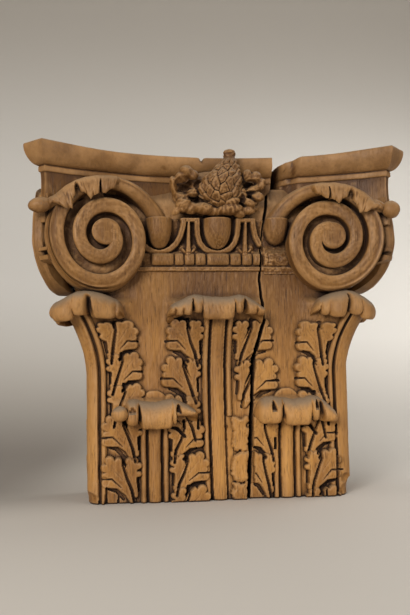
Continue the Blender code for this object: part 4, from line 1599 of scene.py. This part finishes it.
# ---- abacus ----
@dataclass
class Abacus:
    """The hollow-sided slab on top, in two boards, broken beside the opened joint."""

    side: Side
    corner: Corner = Corner()
    hollow: float = 47.0  # how far the front's middle lies behind the horns
    plan: Plan = PLAN
    # (inset, height) of the moulding from the neck up: hollow, fillet, quarter round, top
    profile: Pairs = (
        (13.6, 276), (13.6, 292), (13.9, 305), (14, 312), (14, 318), (13.8, 322), (13.6, 324.4),
        (13.4, 326), (12.2, 326.6), (11.8, 327.3), (11.8, 331), (12.2, 331.9), (12.1, 332.6),
        (10.4, 333), (8.6, 333.9), (6.7, 335.4), (4.9, 337.4), (3.2, 339.8), (1.8, 342.4), (0.8, 345),
        (0.3, 347.8), (0.3, 350.2), (0.9, 351.4), (2.2, 352), (8, 352.2))

    def front_line(self, x: Array, inset: Array) -> Array:
        """Y of the hollow front at some X for an inset."""
        radius = (self.corner.horn ** 2 + self.hollow ** 2) / (2 * self.hollow)
        middle = self.corner.horn_y + self.hollow - radius
        return middle + np.sqrt((radius + inset) ** 2 - x ** 2)

    def meet(self, inset: float) -> float:
        """How far out the front line reaches the horn's blunt end, for an inset."""
        limit = self.corner.horn - self.corner.horn_y - inset * math.sqrt(2)
        low, high = 100.0, 200.0
        for _ in range(40):
            x = (low + high) / 2
            y = float(self.front_line(np.array(x), np.array(inset)))
            if x - y > limit:
                high = x
            else:
                low = x
        return (low + high) / 2

    def ring(self) -> list[tuple[Leg, float]]:
        """Stations round one board's slab, from the joint along the front to the horn and back."""
        columns = 96 if self.side is Side.LEFT else 74
        return legs((Leg.FRONT, np.linspace(0, 1, columns)), (Leg.BLUNT, np.linspace(0, 1, 16)[1:]),
                    (Leg.SIDE, np.linspace(0, 1, 64)[1:]), (Leg.BACK, (0.25, 0.5, 0.75, 1)),
                    (Leg.WALL, np.linspace(0, 1, 26)[1:-1]))

    def joint_x(self, z: Array) -> Array:
        """X of the slab's end at the joint."""
        if self.side is Side.LEFT:
            return np.full_like(z, 59.6) + 0.3 * WEAR.at(z / 6, z * 0) - 12.0 * ramp(322, 305, z)
        return joint_edge(z, self.side) + 0.8

    def place(self, leg: Array, t: Array, row: Array) -> Array:
        """Points of the slab, from places on the way round it and rows of the moulding."""
        inset, z = np.array(self.profile)[row.astype(int)].T
        sign = self.side.value
        reach = np.array([self.meet(value) for value, _ in self.profile])[row.astype(int)]
        end = sign * self.joint_x(z)
        front_x = end + (reach - end) * t
        y_meet = self.front_line(reach, inset)
        # the side is the front mirrored in the upright plane through the horn
        offset = self.corner.offset
        back = self.plan.back - 1.5 * ramp(324, 322, z)
        run = (offset - reach) + t * (back - (offset - reach))
        side_x = offset - self.front_line(np.clip(offset - run, 0, None), inset)
        corner_x = offset - self.front_line(np.array(offset - back), inset)
        spots = {
            Leg.FRONT: (front_x, self.front_line(front_x, inset)),
            Leg.BLUNT: (reach + t * (offset - y_meet - reach), y_meet + t * (offset - reach - y_meet)),
            Leg.SIDE: (side_x, run),
            Leg.BACK: (corner_x + t * (end - corner_x), back),
            Leg.WALL: (end, back + t * (self.front_line(end, inset) - back)),
        }
        here = [leg == name for name in spots]
        x, y = (np.select(here, [spot[k] for spot in spots.values()]) for k in (0, 1))
        x, y, z = self.wear(x, y, z, leg)
        return points(sign * x, y, z)

    def wear(self, x: Array, y: Array, z: Array, leg: Array) -> tuple[Array, Array, Array]:
        """Break, notch and wear the slab; x is counted outwards on both boards."""
        z = z + 3.0 * ramp(95, 185, x) * ramp(332, 350, z)
        skin = np.isin(leg, (Leg.FRONT, Leg.BLUNT, Leg.SIDE)) * 1.0
        rough = 0.3 * WEAR.rough(x / 14, z / 5) + 0.12 * WEAR.rough(x / 4, z / 2)
        y = y + skin * rough
        if self.side is Side.LEFT:
            notch = bump(-14.5, 3.2, -x) * (leg == Leg.FRONT) * ramp(346, 351, z)
            return x, y + 3.5 * notch, z - 3.0 * notch
        reached = np.where(leg == Leg.WALL, ramp(60, -30, y), 1.0) * (leg != Leg.BACK)
        jag = 1 + 0.3 * WEAR.rough(x / 5.5, z / 16)
        torn = 20 * ramp(72, 65, x) + (7.0 * ramp(81, 68, x) + 5.5 * ramp(90, 80, x)) * jag
        torn = torn * np.isin(leg, (Leg.FRONT, Leg.WALL)) * ramp(300, 318, z + 3.0 * jag)
        low = through([(60, 9), (69, 6.4), (79, 3.2), (86, 1), (91, 0)], x)
        low = low * reached * ramp(330, 352, z) * (1 + 0.25 * WEAR.rough(x / 5, x * 0 + 2))
        return x, y + torn * reached, z - low

    def build(self, material: Material) -> Piece:
        """Make one board's slab."""
        bm = wrapped(self.ring(), np.arange(len(self.profile)), self.place)
        bmesh.ops.triangulate(bm, faces=[face for face in bm.faces if len(face.verts) > 4])
        return enter(f"abacus_{self.side.name.lower()}", bm, material, reach=8, sharp=40)


# ---- finishes ----
class Nodes:
    """A node tree that is put together one node at a time."""

    def __init__(self, tree: Tree) -> None:
        """Take an empty tree."""
        self.tree = tree

    def add(self, kind: str, inputs: dict | None = None, **settings: object) -> Node:
        """Add a node.

        Args:
            kind: the node's type.
            inputs: values or sockets for its inputs, by name or number.
            settings: its other properties.

        Returns:
            The node.
        """
        node = self.tree.nodes.new(kind)
        for name, value in settings.items():
            setattr(node, name, value)
        for name, value in (inputs or {}).items():
            self.feed(node, name, value)
        return node

    def feed(self, node: Node, name: str | int, value: object) -> None:
        """Link a socket to an input, or set the input's own value."""
        socket = node.inputs[name]
        if isinstance(value, Socket):
            self.tree.links.new(value, socket)
        else:
            socket.default_value = (*value, 1) if socket.type == "RGBA" else value

    def math(self, operation: str, first: object, second: object = 0.0, clamp: bool = False) -> Socket:
        """Add a math node and return its value."""
        node = self.add("ShaderNodeMath", {0: first, 1: second}, operation=operation, use_clamp=clamp)
        return node.outputs[0]

    def times(self, first: object, second: object, clamp: bool = False) -> Socket:
        """Multiply two values."""
        return self.math("MULTIPLY", first, second, clamp)

    def plus(self, first: object, second: object, clamp: bool = False) -> Socket:
        """Add two values."""
        return self.math("ADD", first, second, clamp)

    def cover(self, distance: float) -> Socket:
        """How open the surface lies within a distance (m), 0 where it is quite covered."""
        return self.add("ShaderNodeAmbientOcclusion", {"Distance": distance}, samples=8).outputs["AO"]

    def height(self, vector: object) -> Socket:
        """The Z of a vector."""
        return self.add("ShaderNodeSeparateXYZ", {0: vector}).outputs["Z"]

    def mix(self, factor: object, first: object, second: object, blend: str = "MIX") -> Socket:
        """Mix two colours and return the result."""
        node = self.add("ShaderNodeMix", {0: factor, 6: first, 7: second}, data_type="RGBA",
                        blend_type=blend)
        return node.outputs[2]

    def tinted(self, colour: object, factor: object, low: object, high: object) -> Socket:
        """Multiply a colour by another that goes from low to high with a factor."""
        return self.mix(1.0, colour, self.mix(factor, low, high), "MULTIPLY")

    def span(self, value: object, low: float, high: float) -> Socket:
        """Stretch a value so that low becomes 0 and high becomes 1, clamped and smooth."""
        node = self.add("ShaderNodeMapRange", {"Value": value, "From Min": low, "From Max": high},
                        interpolation_type="SMOOTHSTEP")
        return node.outputs["Result"]

    def noise(self, where: object, scale: float, detail: float = 3.0, rough: float = 0.55) -> Socket:
        """Noise at some coordinates, as a value about 0.5."""
        node = self.add("ShaderNodeTexNoise", {"Vector": where, "Scale": scale, "Detail": detail,
                                               "Roughness": rough})
        return node.outputs[0]

    def stretched(self, where: object, scale: Triple) -> Socket:
        """Coordinates stretched along each axis."""
        return self.add("ShaderNodeMapping", {"Vector": where, "Scale": scale}).outputs[0]


def group(name: str, inputs: dict[str, tuple[str, object]], outputs: dict[str, str],
          fill: Callable[[Nodes, Node, Node], None]) -> Tree:
    """Make a node group.

    Args:
        name: its name.
        inputs: socket type and default of each input.
        outputs: socket type of each output.
        fill: puts the nodes between the group's input and output.

    Returns:
        The group.
    """
    tree = bpy.data.node_groups.new(name, "ShaderNodeTree")
    for label, (kind, value) in inputs.items():
        tree.interface.new_socket(label, in_out="INPUT", socket_type=kind).default_value = value
    for label, kind in outputs.items():
        tree.interface.new_socket(label, in_out="OUTPUT", socket_type=kind)
    nodes = Nodes(tree)
    fill(nodes, nodes.add("NodeGroupInput"), nodes.add("NodeGroupOutput"))
    return tree


def grain_group() -> Tree:
    """Oak grain running along Z: streaks, slow changes of tone, pores and fine relief."""
    def fill(n: Nodes, given: Node, result: Node) -> None:
        """Put the grain's nodes in."""
        where = n.add("ShaderNodeTexCoord").outputs["Object"]
        warp = n.noise(n.stretched(where, (9, 9, 3)), 1.0, 2.0)
        bent = n.add("ShaderNodeVectorMath", {0: where, 1: n.add(
            "ShaderNodeCombineXYZ", {"X": n.times(warp, 0.02)}).outputs[0]}).outputs[0]
        fine = n.noise(n.stretched(bent, (560, 560, 16)), 1, 3, 0.6)
        broad = n.noise(n.stretched(bent, (95, 95, 4)), 1, 3, 0.6)
        tone = n.noise(n.stretched(bent, (16, 16, 6)), 1, 5, 0.62)
        ticks = n.noise(n.stretched(bent, (1500, 1500, 55)), 1, 1, 0.4)
        pore = n.times(n.span(ticks, 0.60, 0.72), given.outputs["Pores"], clamp=True)
        streak = n.plus(n.times(fine, 0.55), n.times(broad, 0.45))
        dents = n.noise(n.stretched(where, (330, 330, 190)), 1, 4, 0.65)
        height = n.math("SUBTRACT", n.times(fine, 0.6), n.times(pore, 0.7))
        height = n.plus(height, n.times(dents, 1.1))
        for label, value in (("Streak", n.span(streak, 0.28, 0.72)), ("Tone", n.span(tone, 0.3, 0.7)),
                             ("Pore", pore), ("Height", height)):
            n.feed(result, label, value)

    return group("oak grain", {"Pores": ("NodeSocketFloat", 1.0)},
                 {"Streak": "NodeSocketFloat", "Tone": "NodeSocketFloat",
                  "Pore": "NodeSocketFloat", "Height": "NodeSocketFloat"}, fill)


def age_and_painted_light_group() -> Tree:
    """Where dirt and painted shade lie, where handling has rubbed the edges pale, and where dust and painted
    light lie on the faces that look up.
    """
    def fill(n: Nodes, given: Node, result: Node) -> None:
        """Put the masks' nodes in."""
        where = n.add("ShaderNodeTexCoord").outputs["Object"]
        patch = n.span(n.noise(where, 38.0, 4.0, 0.6), 0.28, 0.72)
        hollow = n.add("ShaderNodeAttribute", attribute_name="hollow").outputs["Fac"]
        edge = n.add("ShaderNodeAttribute", attribute_name="edge").outputs["Fac"]
        # painted shade: places that little light reaches within 8 and 16 mm turn dark
        near = n.span(n.cover(0.008), 0.66, 0.16)
        deep = n.cover(0.016)
        shade = n.plus(n.times(near, 0.75), n.times(n.span(deep, 0.52, 0.18), 0.6))
        # dirt in the sunk places and painted shade together
        grime = n.plus(n.times(hollow, 0.42), shade)
        grime = n.times(grime, n.plus(n.times(patch, 0.35), 0.75))
        # painted shade in wide recesses such as the scrolls' channels, and a darker top above 285 mm
        wide = n.cover(0.03)
        tall = n.height(where)
        high = n.span(tall, 0.285, 0.345)
        soot = n.plus(n.span(wide, 0.95, 0.25), n.times(high, 0.9))
        soot = n.times(soot, n.plus(n.times(patch, 0.5), 0.6), clamp=True)
        rub = n.times(edge, n.plus(n.times(patch, 0.8), 0.3))
        # dust and painted top light: faces that look up turn paler and greyer
        up = n.height(n.add("ShaderNodeNewGeometry").outputs["Normal"])
        dust = n.times(n.span(up, 0.15, 0.85), n.math("SUBTRACT", 1.0, grime, clamp=True))
        for label, mask in (("Grime", grime), ("Worn", rub), ("Dust", dust), ("Soot", soot)):
            n.feed(result, label, n.times(mask, given.outputs[label], clamp=True))
        # share of the height from 90 to 250 mm, for tinting the colour lighter below and darker above
        n.feed(result, "Smoke", n.span(tall, 0.09, 0.25))

    amount = "NodeSocketFloat"
    labels = ("Grime", "Worn", "Dust", "Soot")
    return group("oak age and painted light", {label: (amount, 1.0) for label in labels},
                 {label: amount for label in (*labels, "Smoke")}, fill)


@dataclass(frozen=True)
class Oak:
    """Old oak, waxed once and handled since.

    Attributes:
        name: the material's name.
        light: colour of the pale streaks.
        dark: colour of the dark streaks.
        dirt_and_shade: colour of the dirt and of the painted shade in the hollows, and of the pores.
        pale: colour of the rubbed edges.
        dusty_and_top_lit: colour of the dust and of the painted light on the faces that look up.
        recess_shade_and_top_tint: what the painted shade in wide recesses and the darker top multiply the
            colour by.
        low: what the colour is multiplied by near the foot.
        smoke: what it is multiplied by from the scrolls up.
        tones: what it is multiplied by where the wood is darkest and palest.
        grime: how strongly dirt and painted shade darken the hollows.
        worn: how far the edges are rubbed pale.
        dust: how much dust and painted light lie on the faces that look up.
        soot: how strong the painted shade in wide recesses and the darker top are.
        rough: roughness.
        shine: specular level.
        pores: strength of the open pores.
        relief: depth of the grain, m.
    """

    name: str
    light: Triple = (0.295, 0.147, 0.037)
    dark: Triple = (0.205, 0.094, 0.023)
    dirt_and_shade: Triple = (0.024, 0.010, 0.005)
    pale: Triple = (0.42, 0.225, 0.085)
    dusty_and_top_lit: Triple = (0.30, 0.205, 0.115)
    recess_shade_and_top_tint: Triple = (0.42, 0.34, 0.26)
    low: Triple = (1.46, 1.43, 1.35)
    smoke: Triple = (0.68, 0.63, 0.53)
    tones: tuple[Triple, Triple] = ((0.62, 0.55, 0.48), (1.22, 1.22, 1.20))
    grime: float = 1.0
    worn: float = 0.6
    dust: float = 0.4
    soot: float = 0.7
    rough: float = 0.5
    shine: float = 0.32
    pores: float = 1.0
    relief: float = 0.0007

    def make(self, grain: Tree, age_and_painted_light_masks: Tree) -> Material:
        """Make the material.

        Args:
            grain: the grain group.
            age_and_painted_light_masks: the group with the masks of age and of painted light and shade.

        Returns:
            The material.
        """
        material = bpy.data.materials.new(self.name)
        material.use_nodes = True
        n = Nodes(material.node_tree)
        shader = n.tree.nodes["Principled BSDF"]
        wood = n.add("ShaderNodeGroup", {"Pores": self.pores}, node_tree=grain).outputs
        age_and_painted_light = n.add("ShaderNodeGroup", {"Grime": self.grime, "Worn": self.worn, "Dust": self.dust,
                                          "Soot": self.soot}, node_tree=age_and_painted_light_masks).outputs
        colour = n.mix(wood["Streak"], self.dark, self.light)
        colour = n.tinted(colour, wood["Tone"], *self.tones)
        # lighter near the foot, darker from the scrolls up
        colour = n.tinted(colour, age_and_painted_light["Smoke"], self.low, self.smoke)
        colour = n.mix(n.times(wood["Pore"], 0.55), colour, self.dirt_and_shade)
        # painted shade in wide recesses, and a darker top
        colour = n.tinted(colour, age_and_painted_light["Soot"], (1, 1, 1), self.recess_shade_and_top_tint)
        # rubbed edges turn pale, faces that look up take dust and painted top light, hollows take dirt and
        # painted shade
        for label, laid in (("Worn", self.pale), ("Dust", self.dusty_and_top_lit), ("Grime", self.dirt_and_shade)):
            colour = n.mix(age_and_painted_light[label], colour, laid)
        n.feed(shader, "Base Color", colour)
        n.feed(shader, "Specular IOR Level", self.shine)
        rough = n.plus(n.times(wood["Tone"], 0.12), self.rough)
        n.feed(shader, "Roughness", n.plus(rough, n.times(age_and_painted_light["Grime"], 0.3)))
        relief = n.add("ShaderNodeBump", {"Height": wood["Height"], "Strength": 0.6,
                                          "Distance": self.relief})
        n.feed(shader, "Normal", relief.outputs["Normal"])
        return material


# ---- where it stands ----
@dataclass(frozen=True)
class Lamp:
    """A soft lamp that looks at the capital."""

    name: str
    place: Triple
    size: float
    power: float
    aim: Triple = (0.0, 0.0, 0.18)
    colour: Triple = (1.0, 0.99, 0.97)

    def build(self) -> None:
        """Hang the lamp."""
        data = bpy.data.lights.new(self.name, "AREA")
        data.shape, data.size = "DISK", self.size
        data.energy, data.color = self.power, self.colour
        lamp = bpy.data.objects.new(self.name, data)
        lamp.location = self.place
        lamp.rotation_euler = (Vector(self.aim) - Vector(self.place)).to_track_quat("-Z", "Y").to_euler()
        bpy.context.scene.collection.objects.link(lamp)


@dataclass
class Studio:
    """A pale paper sweep with painted pools of light and a painted shadow, soft lamps and the camera; sizes
    in metres.

    Attributes:
        paper: the paper's own colour; painted_light is the colour of the pools of light painted on it, and
            painted_shadow that of the painted shadow.
        painted_shadow_strength: how dark the shadow painted on the left is.
        depth: Y where the floor starts to curve up, by the radius bend.
        wide: half width of the paper.
        tall: how far it goes on from where the curve starts.
        sky: colour of the room's light, and glow is its strength.
        eye: where the camera is.
        look: its yaw, pitch and roll, degrees.
        lens: its focal length, mm.
    """

    paper: Triple = (0.56, 0.515, 0.455)
    painted_light: Triple = (0.86, 0.82, 0.76)
    painted_shadow: Triple = (0.16, 0.13, 0.105)
    painted_shadow_strength: float = 0.75
    depth: float = 0.45
    bend: float = 1.65
    wide: float = 6.0
    tall: float = 4.0
    sky: Triple = (0.9, 0.88, 0.85)
    glow: float = 0.30
    eye: Triple = (-0.118, -0.814, 0.117)
    look: Triple = (7.51, 5.55, -1.14)
    lens: float = 45.6
    lamps: tuple[Lamp, ...] = (
        Lamp("key", (-1.0, -1.95, 0.78), 0.8, 42.0, colour=(1.0, 0.98, 0.95)),
        Lamp("fill", (1.6, -1.7, 0.45), 1.4, 12.0),
        Lamp("top", (0.0, -0.4, 1.9), 0.9, 5.0),
        Lamp("wall", (1.2, 0.85, 0.8), 0.8, 2.9, (0.55, 2.0, 0.45)),
        Lamp("floor", (1.0, 0.4, 1.1), 0.7, 4.0, (0.7, 0.45, 0.0)),
    )

    def build(self) -> None:
        """Put the studio up."""
        self.sweep()
        for lamp in self.lamps:
            lamp.build()
        world = bpy.data.worlds.new("studio")
        world.use_nodes = True
        air = world.node_tree.nodes["Background"].inputs
        air["Color"].default_value, air["Strength"].default_value = (*self.sky, 1), self.glow
        bpy.context.scene.world = world
        bpy.context.scene.view_settings.view_transform = "Standard"
        self.camera()

    def sweep(self) -> None:
        """Lay the paper: a floor that curves up into a wall behind, with painted light and shade on it."""
        length = self.bend * QUARTER

        def place(u: Array, v: Array) -> Array:
            """Points of the paper."""
            past = np.clip(v, 0, length) / self.bend
            y = self.depth + np.minimum(v, 0) + self.bend * np.sin(past)
            z = self.bend * (1 - np.cos(past)) + np.maximum(v - length, 0)
            return points(u, y, z) / MM

        rows = np.concatenate([np.linspace(-self.wide, 0, 8)[:-1], np.linspace(0, length, 24),
                               np.linspace(length, self.tall, 6)[1:]])
        bm = sheet(np.linspace(-self.wide, self.wide, 10), rows, place, solid=False)
        mesh = bpy.data.meshes.new("paper")
        bm.to_mesh(mesh)
        bm.free()
        mesh.shade_smooth()
        material = bpy.data.materials.new("paper")
        material.use_nodes = True
        n = Nodes(material.node_tree)
        shader = n.tree.nodes["Principled BSDF"]
        n.feed(shader, "Roughness", 0.9)
        where = n.add("ShaderNodeSeparateXYZ",
                      {0: n.add("ShaderNodeTexCoord").outputs["Object"]}).outputs
        aside = n.math("SUBTRACT", where["X"], n.times(where["Y"], 0.12))
        # painted light: a brighter band across the wall from about 0.45 to 0.7 m up
        glow = n.times(n.span(where["Z"], 0.02, 0.45), n.span(where["Z"], 1.6, 0.7))
        # painted pool of light on the right, low on the wall and on the floor
        right = n.times(n.span(aside, 0.0, 0.4), n.span(where["Z"], 1.3, 0.4))
        light = n.plus(n.times(glow, 0.8), n.times(right, 0.6), clamp=True)
        # painted shadow on the floor and the foot of the wall, to the left of and behind the capital
        painted_shadow = n.times(n.span(aside, -0.10, -0.28), n.span(where["Y"], -0.12, 0.10))
        painted_shadow = n.times(painted_shadow, n.span(where["Y"], 1.3, 0.5))
        # painted shade also darkens the paper towards the top of the wall, above 0.9 m
        painted_shadow = n.math("MAXIMUM", n.times(painted_shadow, self.painted_shadow_strength),
                     n.times(n.span(where["Z"], 0.9, 1.8), 0.15))
        n.feed(shader, "Base Color", n.mix(painted_shadow, n.mix(light, self.paper, self.painted_light), self.painted_shadow))
        mesh.materials.append(material)
        paper = bpy.data.objects.new("paper", mesh)
        bpy.context.scene.collection.objects.link(paper)

    def camera(self) -> None:
        """Set the camera up in front, a little low and to the left."""
        yaw, pitch, roll = self.look
        data = bpy.data.cameras.new("camera")
        data.lens = self.lens
        camera = bpy.data.objects.new("camera", data)
        place = Matrix.Translation(self.eye)
        for angle, axis in ((-yaw, "Z"), (90 + pitch, "X"), (roll, "Z")):
            place = place @ Matrix.Rotation(math.radians(angle), 4, axis)
        camera.matrix_world = place
        bpy.context.scene.collection.objects.link(camera)
        bpy.context.scene.camera = camera


def main() -> None:
    """Build the capital and its studio."""
    logging.basicConfig(level=logging.INFO, format="%(name)s: %(message)s")
    grain, age_and_painted_light_masks = grain_group(), age_and_painted_light_group()
    oak = Oak("oak").make(grain, age_and_painted_light_masks)
    bell = Bell()
    carving = bell.carving()
    for side in Side:
        Board(side, bell, carving).build(oak)
    # the tips get more dust and painted top light, and a little more painted shade in wide recesses
    dusty_and_top_lit = Oak("oak_dusty_and_top_lit", dust=0.85, soot=0.75, dusty_and_top_lit=(0.195, 0.148, 0.1)).make(grain, age_and_painted_light_masks)
    Tips().build(dusty_and_top_lit)
    Scrolls().build(oak)
    Flower().build(oak)
    for side in Side:
        EggBand(side).build(oak)
        Abacus(side).build(oak)
    Studio().build()


if __name__ == "__main__":
    main()
